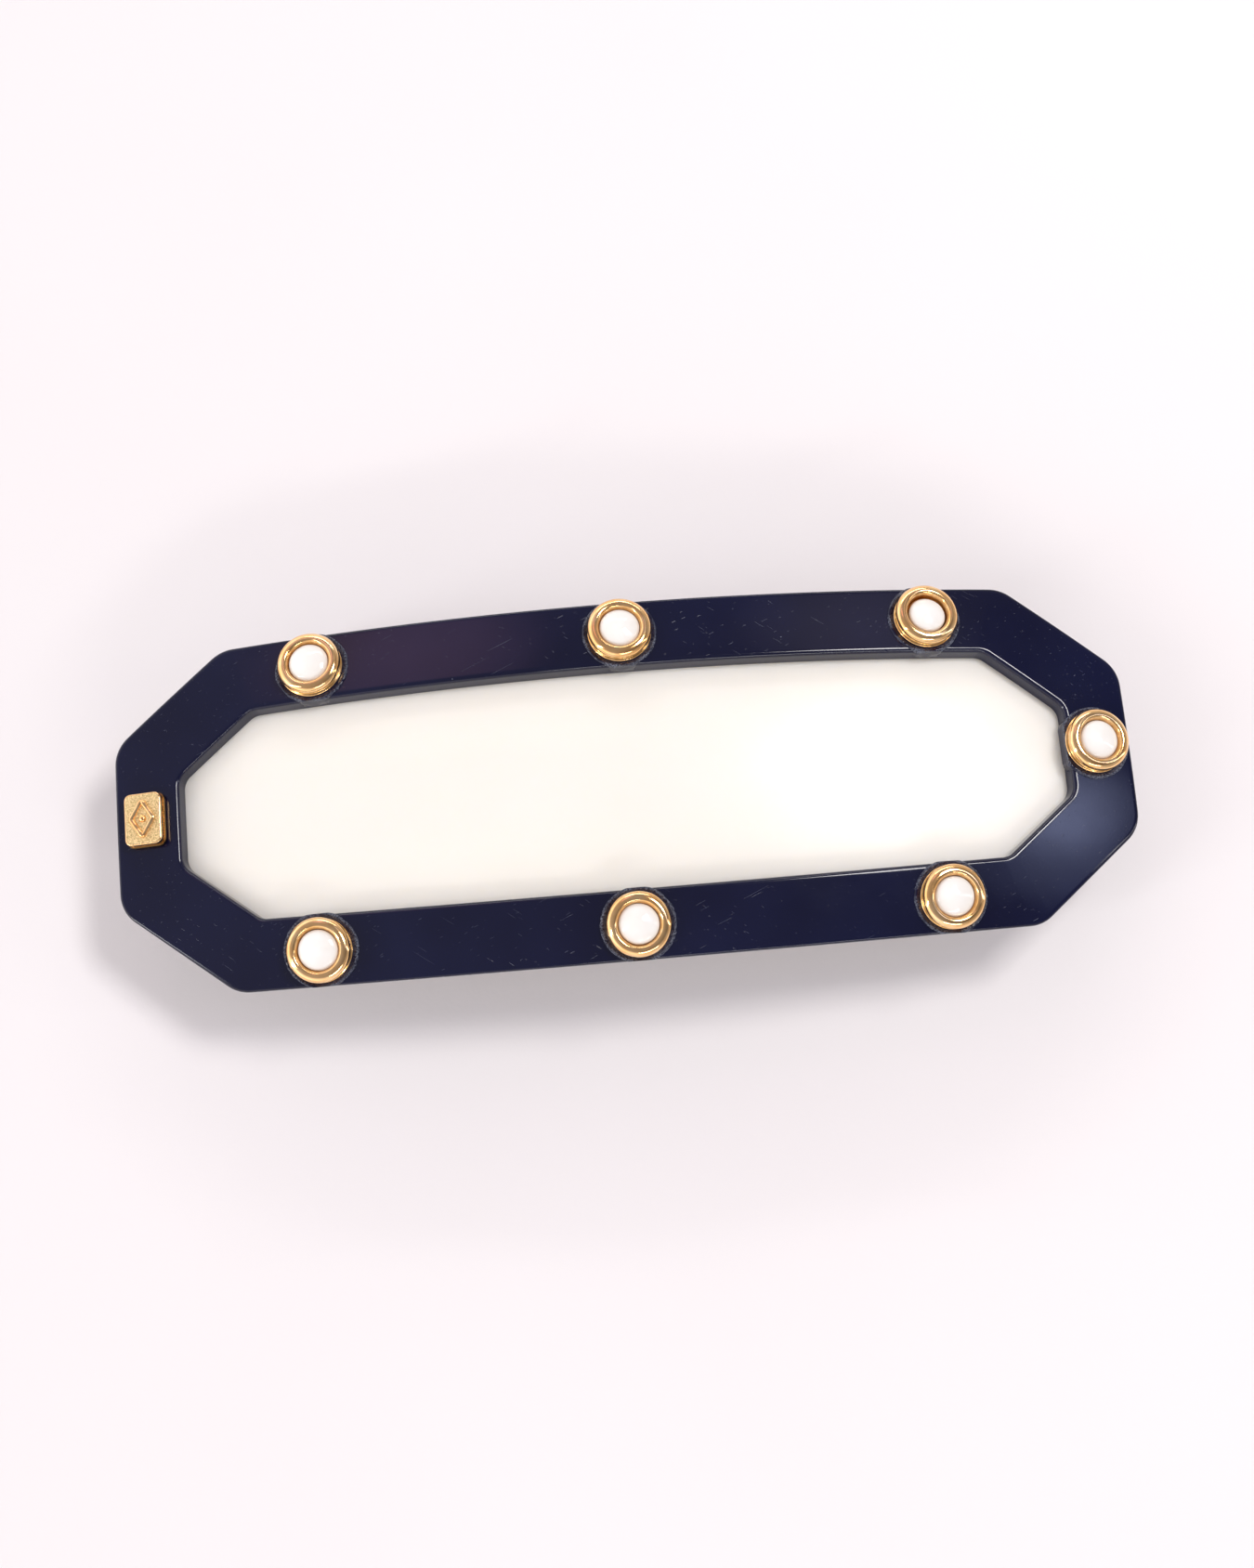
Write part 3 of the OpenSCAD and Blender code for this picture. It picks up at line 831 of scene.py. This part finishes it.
# The gold tile: two tiers, a sanded top and a raised lozenge with a bead in it
tile = {
    "length": 3.9,
    "width": 5.3,
    "tier": 0.55,
    "height": 1.3,
    "base": 0.05,
    "step": 0.12,
    "round": 0.75,
    "bevel": 0.12,
    "dish": 0.012,
    "sand": 0.030,
    "sandRings": 26,
    "motifX": 1.12,
    "motifY": 1.78,
    "motifRadius": 0.24,
    "motifRise": 0.16,
    "bead": 0.36,
    "beadRise": 0.26,
}


def roundedLoop(length, width, radius, perSide=28, perCorner=9):
    arcs = []
    for index, (signX, signY) in enumerate([(1, 1), (1, -1), (-1, -1), (-1, 1)]):
        centre = Vector((signX * (length / 2 - radius), signY * (width / 2 - radius)))
        turns = [math.pi / 2 * (1 - index - step / (perCorner - 1)) for step in range(perCorner)]
        arcs.append([centre + toward(turn) * radius for turn in turns])
    loop = []
    for arc, following in zip(arcs, arcs[1:] + arcs[:1]):
        loop += arc + [arc[-1].lerp(following[0], step / perSide) for step in range(1, perSide)]
    return loop


def buildTile():
    spot = nodeSpot("gold_tile")
    place = facePlace(*spot, tile["base"])
    lower = roundedLoop(tile["length"], tile["width"], tile["round"])
    inset, bevel, top, tier = tile["step"], tile["bevel"], tile["height"], tile["tier"]
    sandLevel = top - tile["dish"]
    upper = moveIn(lower, inset)
    crown = moveIn(lower, inset + bevel)
    rows = [
        (moveIn(lower, 0.06), 0.0),
        (lower, 0.06),
        (lower, tier - 0.16),
        (moveIn(lower, 0.03), tier - 0.10),
        (moveIn(lower, inset + 0.10), tier - 0.07),
        (moveIn(lower, inset + 0.10), tier - 0.01),
        (moveIn(lower, inset + 0.02), tier + 0.02),
        (upper, tier + 0.06),
        (upper, top - bevel),
        (moveIn(lower, inset + bevel * 0.3), top - bevel * 0.3),
        (crown, top),
        (moveIn(lower, inset + bevel + 0.05), sandLevel),
    ]
    rings = tile["sandRings"]
    inner = rows[-1][0]
    for number in range(1, rings + 1):
        share = 1 - number / (rings + 1)
        rows.append(([point * share for point in inner], sandLevel))
    vertices = [place @ Vector((0, 0, 0))]
    wearAndShade = [1.0]
    sandy = len(rows) - rings - 1
    for index, (loop, height) in enumerate(rows):
        # the lower tier gets 1, for its dark colour of brown tarnish and painted shade; walls above get 0.5
        onWall = 0.5 if height > tier else 1.0
        wearAndShade += [0.0 if index >= sandy else onWall] * len(loop)
        for point in loop:
            lift = 0.0
            if index >= sandy:
                lift = tile["sand"] * noise.noise(Vector((point.x, point.y, 0)) * 6.5)
                lift += tile["sand"] * 0.6 * noise.noise(Vector((point.x, point.y, 4)) * 13)
            vertices.append(place @ (Vector((point.x, point.y, height + lift)) * mm))
    vertices.append(place @ Vector((0, 0, sandLevel * mm)))
    wearAndShade.append(0.0)
    faces = cappedFaces(len(rows), len(lower))
    makePiece("goldTile", (vertices, faces), "matte_gold", ["gold_tile"], sharp=48, wearAndShade=wearAndShade)
    buildLozenge(place)


def buildLozenge(place):  # a rope-like lozenge ring, rounded above and sunk into the tile
    corners = [Vector((tile["motifX"], 0)), Vector((0, -tile["motifY"])), Vector((-tile["motifX"], 0))]
    corners.append(Vector((0, tile["motifY"])))
    spine = []
    for index, corner in enumerate(corners):
        spine += cornerArc(corners[index - 1], corner, corners[(index + 1) % 4], 0.16, 6)
        following = corners[(index + 1) % 4]
        leave = spine[-1]
        spine += [leave.lerp(following, share / 10) for share in range(1, 8)]
    sections = 14
    vertices = []
    for index, point in enumerate(spine):
        chord = (spine[(index + 1) % len(spine)] - spine[index - 1]).normalized()
        side = Vector((chord.y, -chord.x, 0))
        swell = 1 + 0.22 * noise.noise(Vector((point.x, point.y, 2)) * 2.6)
        radius = tile["motifRadius"] * swell
        for step in range(sections):
            angle = 2 * math.pi * step / sections
            lift = tile["height"] + tile["motifRise"] * 0.5 + radius * math.sin(angle)
            middle = Vector((point.x, point.y, lift)) + side * radius * math.cos(angle)
            vertices.append(place @ (middle * mm))
    faces = loftFaces(len(spine), sections, wrap=True)
    makePiece("tileLozenge", (vertices, faces), "polished_gold", sharp=80)
    bead = tile["bead"]
    dome = [(math.cos(angle), math.sin(angle)) for angle in map(math.radians, range(0, 90, 10))]
    profile = [(0, -0.2), (bead, -0.15)] + [(bead * out, tile["beadRise"] * up) for out, up in dome]
    profile.append((0, tile["beadRise"]))
    onTop = place @ Matrix.Translation((0, 0, tile["height"] * mm))
    makePiece("tileBead", revolve(profile, 40, onTop), "polished_gold", sharp=80)


buildTile()
print("tile made")

# The French clip: bent steel strips under the face
clip = {
    "baseWidth": 8.5,
    "baseThick": 0.7,
    "baseStart": -41.6,
    "baseEnd": 40.4,
    "baseRound": 1.4,
    "neckHalf": 3.35,
    "neckEnd": -37.4,
    "neckTaper": 1.4,
    "armWidth": 6.0,
    "armThick": 0.55,
    "armEnd": 41.25,
    "armRound": 1.3,
    "ribRise": 0.14,
    "ribHalf": 1.3,
    "ribStart": -34,
    "ribEnd": 32,
    "ribFade": 4,
    "hingeAlong": -41.2,
    "latchAlong": 38.4,
    "windowLength": 3.1,
    "windowWidth": 4.7,
    "pinRadius": 0.55,
    "pinHead": 0.95,
    "pinHeadThick": 0.45,
    "earRadius": 1.5,
    "earThick": 0.7,
    "earMiddle": 3.5,
    "earFoot": 2.2,
    "earBend": 0.6,
    "springThick": 0.35,
    "springWidth": 5.5,
    "springRound": 1.0,
    "keeperThick": 0.5,
    "keeperLength": 3.0,
    "keeperMiddle": 3.1,
    "keeperReach": 2.05,
    "keeperBend": 0.35,
    "bracketThick": 0.5,
    "bracketWidth": 3.3,
    "bracketStart": 36.4,
    "bracketRound": 0.5,
    "rivetAlong": 25.0,
    "baseRivet": (0.6, 1.3, 0.45, 2.0),  # shank radius, head radius, head rise, shank length
    "latchRivetAlong": 37.8,
    "latchRivet": (0.8, 1.25, 0.4, 1.2),
    "edge": 0.07,
}
baseTop = clipRadius("clip_base")
baseLow = baseTop - clip["baseThick"]
armTop = clipRadius("closing_arm")
joints = {joint["name"]: joint for joint in frame["joints"]}
hingeSpot = Vector(joints["arm_hinge"]["pos_m"])
hingeRadius = Vector((hingeSpot.x / mm, hingeSpot.z / mm - centreZ)).length
yAxis = Vector((0, 1, 0))


def stripRow(along, radius, halfWidth):  # one row of a strip that follows the arch
    place = clipPlace(along, radius)
    return place.translation, place.to_3x3() @ Vector((0, 0, 1)), yAxis * (halfWidth * mm)


def spread(start, end, step):  # evenly spaced values, both ends included
    count = max(1, math.ceil((end - start) / step - 1e-6))
    return [start + (end - start) * index / count for index in range(count + 1)]


def endWidth(distance, halfWidth, radius):  # half width at this distance from a round-cornered end
    if distance >= radius:
        return halfWidth
    return halfWidth - radius + math.sqrt(max(0.0, radius ** 2 - (radius - distance) ** 2))


def tipSteps(end, radius, sign):  # rows that bring out a rounded corner
    turns = [math.radians(angle) for angle in (90, 72, 54, 38, 24, 12, 0)]
    return [end - sign * radius * (1 - math.cos(angle)) for angle in turns]


def stripStops(start, end, radius, step=math.inf):  # rows of a strip with both ends rounded
    straight = spread(start + radius, end - radius, step)[1:-1]
    return tipSteps(start, radius, -1)[::-1] + straight + tipSteps(end, radius, 1)


def stripHalf(along, start, end, half, radius):
    return min(endWidth(along - start, half, radius), endWidth(end - along, half, radius))


stripColumns = [-1.0, -0.9, -0.72, -0.5, -0.25, 0.0, 0.25, 0.5, 0.72, 0.9, 1.0]


def buildBase():
    start, end, radius = clip["baseStart"], clip["baseEnd"], clip["baseRound"]
    middle = baseTop - clip["baseThick"] / 2
    half = clip["baseWidth"] / 2
    neck = clip["neckHalf"]  # narrower where the ears are bent down
    path = []
    for along in stripStops(start, end, radius, 2.0):
        share = max(0.0, min(1.0, (along - clip["neckEnd"]) / clip["neckTaper"]))
        widest = neck + (half - neck) * share * share * (3 - 2 * share)
        path.append(stripRow(along, middle, min(stripHalf(along, start, end, half, radius), widest)))
    makeSteel("clipBase", sheet(path, stripColumns, clip["baseThick"]), ["clip_base"], clip["edge"])


def bentPath(points, turnRadius, steps=7):  # a polyline with its bends rounded
    path = [points[0]]
    for before, corner, after in zip(points, points[1:], points[2:]):
        path += cornerArc(before, corner, after, turnRadius, steps)
    path.append(points[-1])
    return path


def crossRows(place, outline, side, widths=None):  # rows of a sheet bent in the Y and Z of a frame
    rows = []
    for index, point in enumerate(outline):
        ahead = outline[min(index + 1, len(outline) - 1)]
        behind = outline[max(index - 1, 0)]
        chord = (ahead - behind).normalized()
        middle = place @ (Vector((0, point.x, point.y)) * mm)
        normal = place.to_3x3() @ Vector((0, -chord.y, chord.x))
        width = widths[index] if widths else 1.0
        rows.append((middle, normal, place.to_3x3() @ Vector((side * width * mm, 0, 0))))
    return rows


def buildEars():
    place = clipPlace(clip["hingeAlong"], hingeRadius)
    rise = baseTop - clip["baseThick"] / 2 - hingeRadius
    for sign, name in ((-1, "hingeEar_front"), (1, "hingeEar_rear")):
        out = sign * clip["earMiddle"]
        corners = [Vector((sign * clip["earFoot"], rise)), Vector((out, rise)), Vector((out, 0.0))]
        bend = bentPath(corners, clip["earBend"])
        for angle in range(10, 91, 10):
            bend.append(Vector((out, -clip["earRadius"] * math.sin(math.radians(angle)))))
        widths = []
        for point in bend:
            if point.y < 0:
                widths.append(math.sqrt(max(0.0004, 1 - (point.y / clip["earRadius"]) ** 2)))
            else:
                widths.append(1.0 + 0.25 * max(0.0, (point.y / rise - 0.6) / 0.4) ** 2)
        rows = crossRows(place, bend, clip["earRadius"], widths)
        columns = [-1.0, -0.8, -0.4, 0.0, 0.4, 0.8, 1.0]
        makeSteel(name, sheet(rows, columns, clip["earThick"]), bevel=clip["edge"])


def buildPin():
    radius, head, thick = clip["pinRadius"], clip["pinHead"], clip["pinHeadThick"]
    low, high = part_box("hinge_pin")
    reach = (high.y - low.y) / 2 / mm
    side = [(head - 0.32, reach), (head - 0.16, reach - 0.05), (head - 0.04, reach - 0.16)]
    side += [(head, reach - 0.3), (head, reach - thick), (radius, reach - thick)]
    profile = [(0, -reach - 0.02)] + [(out, -along) for out, along in side]
    profile += [(out, along) for out, along in reversed(side)] + [(0, reach + 0.02)]
    place = Matrix.Translation(hingeSpot) @ Matrix.Rotation(math.radians(-90), 4, "X")
    makeSteel("hingePin", revolve(profile, 48, place), ["hinge_pin"], sharp=50)


def buildArm():
    thick = clip["armThick"]
    middle = armTop - thick / 2
    half = clip["armWidth"] / 2
    curl = hingeRadius - middle
    place = clipPlace(clip["hingeAlong"], hingeRadius)
    turn = place.to_3x3()
    path = []
    for angle in range(-380, -90, 10):
        out = Vector((math.cos(math.radians(angle)), 0, math.sin(math.radians(angle))))
        path.append((place @ (out * curl * mm), turn @ out, yAxis * (half * mm)))
    latch, window, end, radius = clip["latchAlong"], clip["windowLength"], clip["armEnd"], clip["armRound"]
    stops = spread(clip["hingeAlong"], latch - window / 2, 1.6)
    windowRow = len(path) + len(stops) - 1
    stops += [latch + window / 2] + tipSteps(end, radius, 1)[1:]
    for along in stops:
        width = endWidth(end - along, half, radius)
        spot, normal, reach = stripRow(along, middle, width)
        path.append((spot, -normal, reach))
    edge = clip["windowWidth"] / clip["armWidth"]
    columns = [-1.0, -0.9, -edge, -0.6, -0.42, -0.28, -0.14, 0.0, 0.14, 0.28, 0.42, 0.6, edge, 0.9, 1.0]

    def keep(row, column):
        return not (row == windowRow and 2 <= column <= 11)

    vertices, faces = sheet(path, columns, thick, keep)
    for index in range(len(vertices)):  # a shallow stiffening rib along the middle
        point = vertices[index]
        along = math.atan2(point.x, point.z - centreZ * mm) * archRadius
        across = abs(point.y) / mm
        fromEnds = min(along - clip["ribStart"], clip["ribEnd"] - along)
        if fromEnds > 0 and point.z / mm - centreZ < hingeRadius:
            ends = min(1.0, fromEnds / clip["ribFade"])
            hump = max(0.0, math.cos(min(1.0, across / clip["ribHalf"]) * math.pi / 2))
            vertices[index] = point - Vector((0, 0, clip["ribRise"] * hump * ends * mm))
    makeSteel("closingArm", (vertices, faces), ["closing_arm"], clip["edge"], body="arm")


def buildSpring():
    low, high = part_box("bow_spring")
    reach = high.x / mm
    thick, half = clip["springThick"], clip["springWidth"] / 2
    top = high.z / mm
    sag = (high.z - low.z) / mm - thick
    bow = (reach ** 2 + sag ** 2) / (2 * sag)
    radius = clip["springRound"]
    path = []
    for x in stripStops(-reach, reach, radius, 1.8):
        angle = math.asin(x / bow)
        width = stripHalf(x, -reach, reach, half, radius)
        normal = Vector((math.sin(angle), 0, math.cos(angle)))
        middle = Vector((0, 0, top - bow)) + normal * (bow - thick / 2)
        path.append((middle * mm, normal, yAxis * (width * mm)))
    makeSteel("bowSpring", sheet(path, stripColumns, thick), ["bow_spring"], bevel=0.05)


def buildKeepers():
    low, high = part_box("bow_spring")
    reach = high.x / mm
    lip = low.z / mm - 0.1 - clip["keeperThick"] / 2
    for signX, end in ((-1, "hinge"), (1, "latch")):
        x = signX * (reach - clip["keeperLength"] / 2)
        top = centreZ + math.sqrt(baseLow ** 2 - x ** 2) + 0.35
        place = Matrix.Translation((x * mm, 0, 0))
        for signY, side in ((-1, "front"), (1, "rear")):
            wall = signY * clip["keeperMiddle"]
            tip = Vector((signY * clip["keeperReach"], lip))
            outline = bentPath([Vector((wall, top)), Vector((wall, lip)), tip], clip["keeperBend"])
            rows = crossRows(place, outline, clip["keeperLength"] / 2)
            keeper = sheet(rows, [-1.0, -0.75, -0.25, 0.25, 0.75, 1.0], clip["keeperThick"])
            makeSteel(f"springKeeper_{end}_{side}", keeper, bevel=clip["edge"])


def buildBracket():
    radius = baseLow - 0.05 - clip["bracketThick"] / 2
    start, end = clip["bracketStart"], clip["baseEnd"]
    half, corner = clip["bracketWidth"] / 2, clip["bracketRound"]
    path = []
    for along in stripStops(start, end, corner):
        path.append(stripRow(along, radius, stripHalf(along, start, end, half, corner)))
    strip = sheet(path, stripColumns, clip["bracketThick"])
    makeSteel("latchBracket", strip, ["latch_bracket"], bevel=0.06)


def buildRivet(name, node, along, seat, size):
    radius, head, rise, top = size
    turns = [math.radians(angle) for angle in range(20, 90, 10)]
    dome = [(head * math.cos(angle), -rise * math.sin(angle)) for angle in turns]
    profile = [(0, top), (radius - 0.1, top), (radius, top - 0.1), (radius, 0.0), (head - 0.03, 0.0)]
    profile += [(head, -rise * 0.2)] + dome + [(0, -rise)]
    makeSteel(name, revolve(profile, 56, clipPlace(along, seat)), [node], sharp=50)


def buildRivets():
    seat = baseLow - 0.05
    for sign, end in ((-1, "hinge"), (1, "latch")):
        along = sign * clip["rivetAlong"]
        buildRivet(f"baseRivet_{end}", f"base_rivet_{end}_end", along, seat, clip["baseRivet"])
    low = seat - 0.05 - clip["bracketThick"]
    buildRivet("latchRivet", "latch_rivet", clip["latchRivetAlong"], low, clip["latchRivet"])


prong = {
    "thick": 0.45,
    "middle": 1.975,
    "length": 2.6,
    "root": 6.75,
    "foot": 1.45,
    "footRise": 0.12,
    "bend": 0.4,
    "hookRadius": 207.85,
    "hookThick": 0.5,
    "hookTip": 2.95,
    "padTurn": 38.0,
    "padNeck": 2.5,
    "padReach": 4.9,
    "padHalf": 2.5,
    "padBend": 1.2,
    "ridge": 0.09,
    "ridgeFrom": 0.6,
    "ridgePitch": 0.8,
    "edge": 0.06,
}


def buildProng(sign, side, node, body):
    place = clipPlace(clip["latchAlong"], prong["hookRadius"])
    y = sign * prong["middle"]
    thick = prong["thick"]
    hookZ = -prong["hookThick"] / 2
    footZ = prong["root"] + prong["footRise"]
    points = [Vector((sign * prong["foot"], footZ)), Vector((y, footZ))]
    points += [Vector((y, hookZ)), Vector((sign * prong["hookTip"], hookZ))]
    rows = crossRows(place, bentPath(points, prong["bend"]), prong["length"] / 2)
    blade = sheet(rows, [-1.0, -0.8, -0.3, 0.3, 0.8, 1.0], thick)
    makeSteel(f"latchProng_{side}", blade, [node], prong["edge"], body=body)
    buildPad(sign, side, body, place, y)


def buildPad(sign, side, body, place, y):  # a finger pad, bent outwards and gripped
    bendX = prong["padNeck"]
    far = Vector((bendX, y)) + toward(math.radians(prong["padTurn"]) * sign) * prong["padReach"]
    outline = [Vector((prong["length"] / 2 - 0.15, y)), Vector((bendX, y)), far]
    path = bentPath(outline, prong["padBend"], 8)
    start = path[-2]
    total = (far - start).length
    path = path[:-1]
    straight = spread(0.0, total - prong["padHalf"], 0.2)[1:]
    path += [start.lerp(far, distance / total) for distance in straight]
    for angle in range(10, 91, 8):
        distance = total - prong["padHalf"] * (1 - math.sin(math.radians(angle)))
        path.append(start.lerp(far, distance / total))
    path.append(far)
    middleZ = prong["root"] - prong["padHalf"]
    turned = place.to_3x3()
    rows = []
    for index, point in enumerate(path):
        ahead = path[min(index + 1, len(path) - 1)]
        behind = path[max(index - 1, 0)]
        chord = (ahead - behind).normalized()
        normal = Vector((-chord.y, chord.x, 0))
        left = (far - point).length
        distance = total - left
        half = prong["padHalf"]
        if left < half:
            half = math.sqrt(max(0.0004, half ** 2 - (half - left) ** 2))
        ridge = 0.0
        beyond = distance - prong["ridgeFrom"]
        if beyond > 0:
            fade = max(0.0, min(1.0, beyond / 0.4, left / 0.9))
            ridge = prong["ridge"] * math.sin(beyond * 2 * math.pi / prong["ridgePitch"]) * fade
        middle = Vector((point.x, point.y, middleZ)) + normal * ridge
        rows.append((place @ (middle * mm), turned @ normal, turned @ Vector((0, 0, half * mm))))
    pad = sheet(rows, [-1.0, -0.92, -0.7, -0.35, 0.0, 0.35, 0.7, 0.92, 1.0], prong["thick"])
    makeSteel(f"latchPad_{side}", pad, bevel=prong["edge"], body=body)


buildBase()
buildEars()
buildPin()
buildArm()
buildSpring()
buildKeepers()
buildBracket()
buildRivets()
buildProng(-1, "front", "latch_prong_front", "front_prong")
buildProng(1, "rear", "latch_prong_rear", "rear_prong")
print("clip made")

# Floor, lights and camera
studio = {
    "floorSize": 12.0,
    "floorTone": (0.87, 0.835, 0.845),
    "overhead": (0.32, 0.305, 0.32),
    "surround": (0.82, 0.78, 0.78),
    "horizon": (1.15, 1.09, 1.07),
    "lean": [(0.12, 1.55), (0.88, 0.45)],  # brighter towards the left
    "glows": [  # direction, how wide in degrees, colour
        ((0.562, 0.095, 0.82), 6.0, (2.40, 2.70, 4.20)),
        ((0.555, -0.01, 0.83), 6.5, (0.75, 0.85, 1.35)),
        ((-0.22, 0.55, 0.80), 11, (0.70, 0.33, 0.48)),
        ((0.33, 0.53, 0.78), 9, (0.45, 0.40, 0.50)),
    ],
}


def buildFloor():
    half = studio["floorSize"] / 2
    level = cadBox[0].z
    vertices = [(-half, -half, level), (half, -half, level), (half, half, level), (-half, half, level)]
    mesh = bpy.data.meshes.new("floor")
    mesh.from_pydata(vertices, [], [(0, 1, 2, 3)])
    floor = bpy.data.objects.new("floor", mesh)
    scene.collection.objects.link(floor)
    material, tree, shader = newMaterial("floorCard", 0.8)
    cloud = ramp(tree, grain(tree, 60, 2.0), [(0.35, 0.0), (0.65, 1.0)])
    tone = studio["floorTone"]
    shade = tuple(value * 0.985 for value in tone)  # a faint cloudiness
    link(tree, mixColour(tree, cloud, tone, shade), shader, "Base Color")
    link(tree, bump(tree, grain(tree, 0.5, 3.0), 0.01), shader, "Normal")
    mesh.materials.append(material)


softLights = [  # name, direction towards it, distance, size, power, colour
    ("keyLight", (0.40, 0.21, 0.89), 0.62, (0.17, 0.14), 1.68, (1.0, 0.975, 0.95)),
    ("frontStrip", (0.22, -0.80, 0.55), 0.55, (0.30, 0.035), 0.45, (1.0, 0.98, 0.97)),
    ("rearStrip", (0.05, 0.84, 0.50), 0.55, (0.42, 0.035), 0.35, (1.0, 0.99, 0.98)),
    ("leftStrip", (-0.82, -0.30, 0.50), 0.55, (0.035, 0.40), 0.60, (0.98, 0.98, 1.0)),
    ("rightStrip", (0.88, -0.10, 0.45), 0.55, (0.035, 0.40), 0.20, (0.98, 0.98, 1.0)),
]


def buildLights():
    target = (cadBox[0] + cadBox[1]) / 2
    for name, direction, distance, size, power, colour in softLights:
        light = bpy.data.lights.new(name, "AREA")
        light.shape = "RECTANGLE"
        light.size, light.size_y = size
        light.energy = power
        light.color = colour
        lamp = bpy.data.objects.new(name, light)
        away = Vector(direction).normalized()
        lamp.location = target + away * distance
        lamp.rotation_mode = "QUATERNION"
        lamp.rotation_quaternion = away.to_track_quat("Z", "Y")
        scene.collection.objects.link(lamp)
    world = bpy.data.worlds.new("softRoom")
    world.use_nodes = True
    tree = world.node_tree
    sky = addNode(tree, "ShaderNodeTexCoord").outputs["Generated"]
    parts = addNode(tree, "ShaderNodeSeparateXYZ", {"Vector": sky}).outputs
    stops = [(0.2, studio["horizon"]), (0.5, studio["surround"]), (0.70, studio["overhead"])]
    tone = ramp(tree, parts["Z"], stops)
    across = calculate(tree, "MULTIPLY", calculate(tree, "ADD", parts["X"], 1.0), 0.5)
    share = ramp(tree, across, studio["lean"])
    tone = blend(tree, "MULTIPLY", tone, share)
    for direction, wide, colour in studio["glows"]:
        sockets = {0: sky, 1: Vector(direction).normalized()}
        nearness = addNode(tree, "ShaderNodeVectorMath", sockets, operation="DOT_PRODUCT")
        edge = math.cos(math.radians(wide))
        glow = ramp(tree, nearness.outputs["Value"], [(edge, 0.0), (1.0, colour)])
        tone = blend(tree, "ADD", tone, glow)
    tree.links.new(tone, tree.nodes["Background"].inputs["Color"])
    scene.world = world
    scene.view_settings.view_transform = "Standard"


viewpoint = {
    "pitch": -13.36,
    "yaw": 2.27,
    "roll": 4.68,
    "distance": 220.0,
    "right": 0.189,
    "up": 0.934,
    "lens": 53.23,
}


def buildCamera():
    pitch, yaw, roll = (math.radians(viewpoint[key]) for key in ("pitch", "yaw", "roll"))
    turn = Matrix.Rotation(roll, 3, "Z") @ Matrix.Rotation(yaw, 3, "Y") @ Matrix.Rotation(pitch, 3, "X")
    standing = turn.transposed()
    crown = Vector((0, 0, centreZ + archRadius))
    offset = standing @ Vector((-viewpoint["right"], -viewpoint["up"], viewpoint["distance"]))
    lens = bpy.data.cameras.new("view")
    lens.lens = viewpoint["lens"]
    lens.clip_start = 0.01
    lens.clip_end = 20.0  # past the floor's far edge
    camera = bpy.data.objects.new("view", lens)
    camera.matrix_world = Matrix.Translation((crown + offset) * mm) @ standing.to_4x4()
    scene.collection.objects.link(camera)
    scene.camera = camera


buildFloor()
buildLights()
buildCamera()
print("floor, lights and camera set")
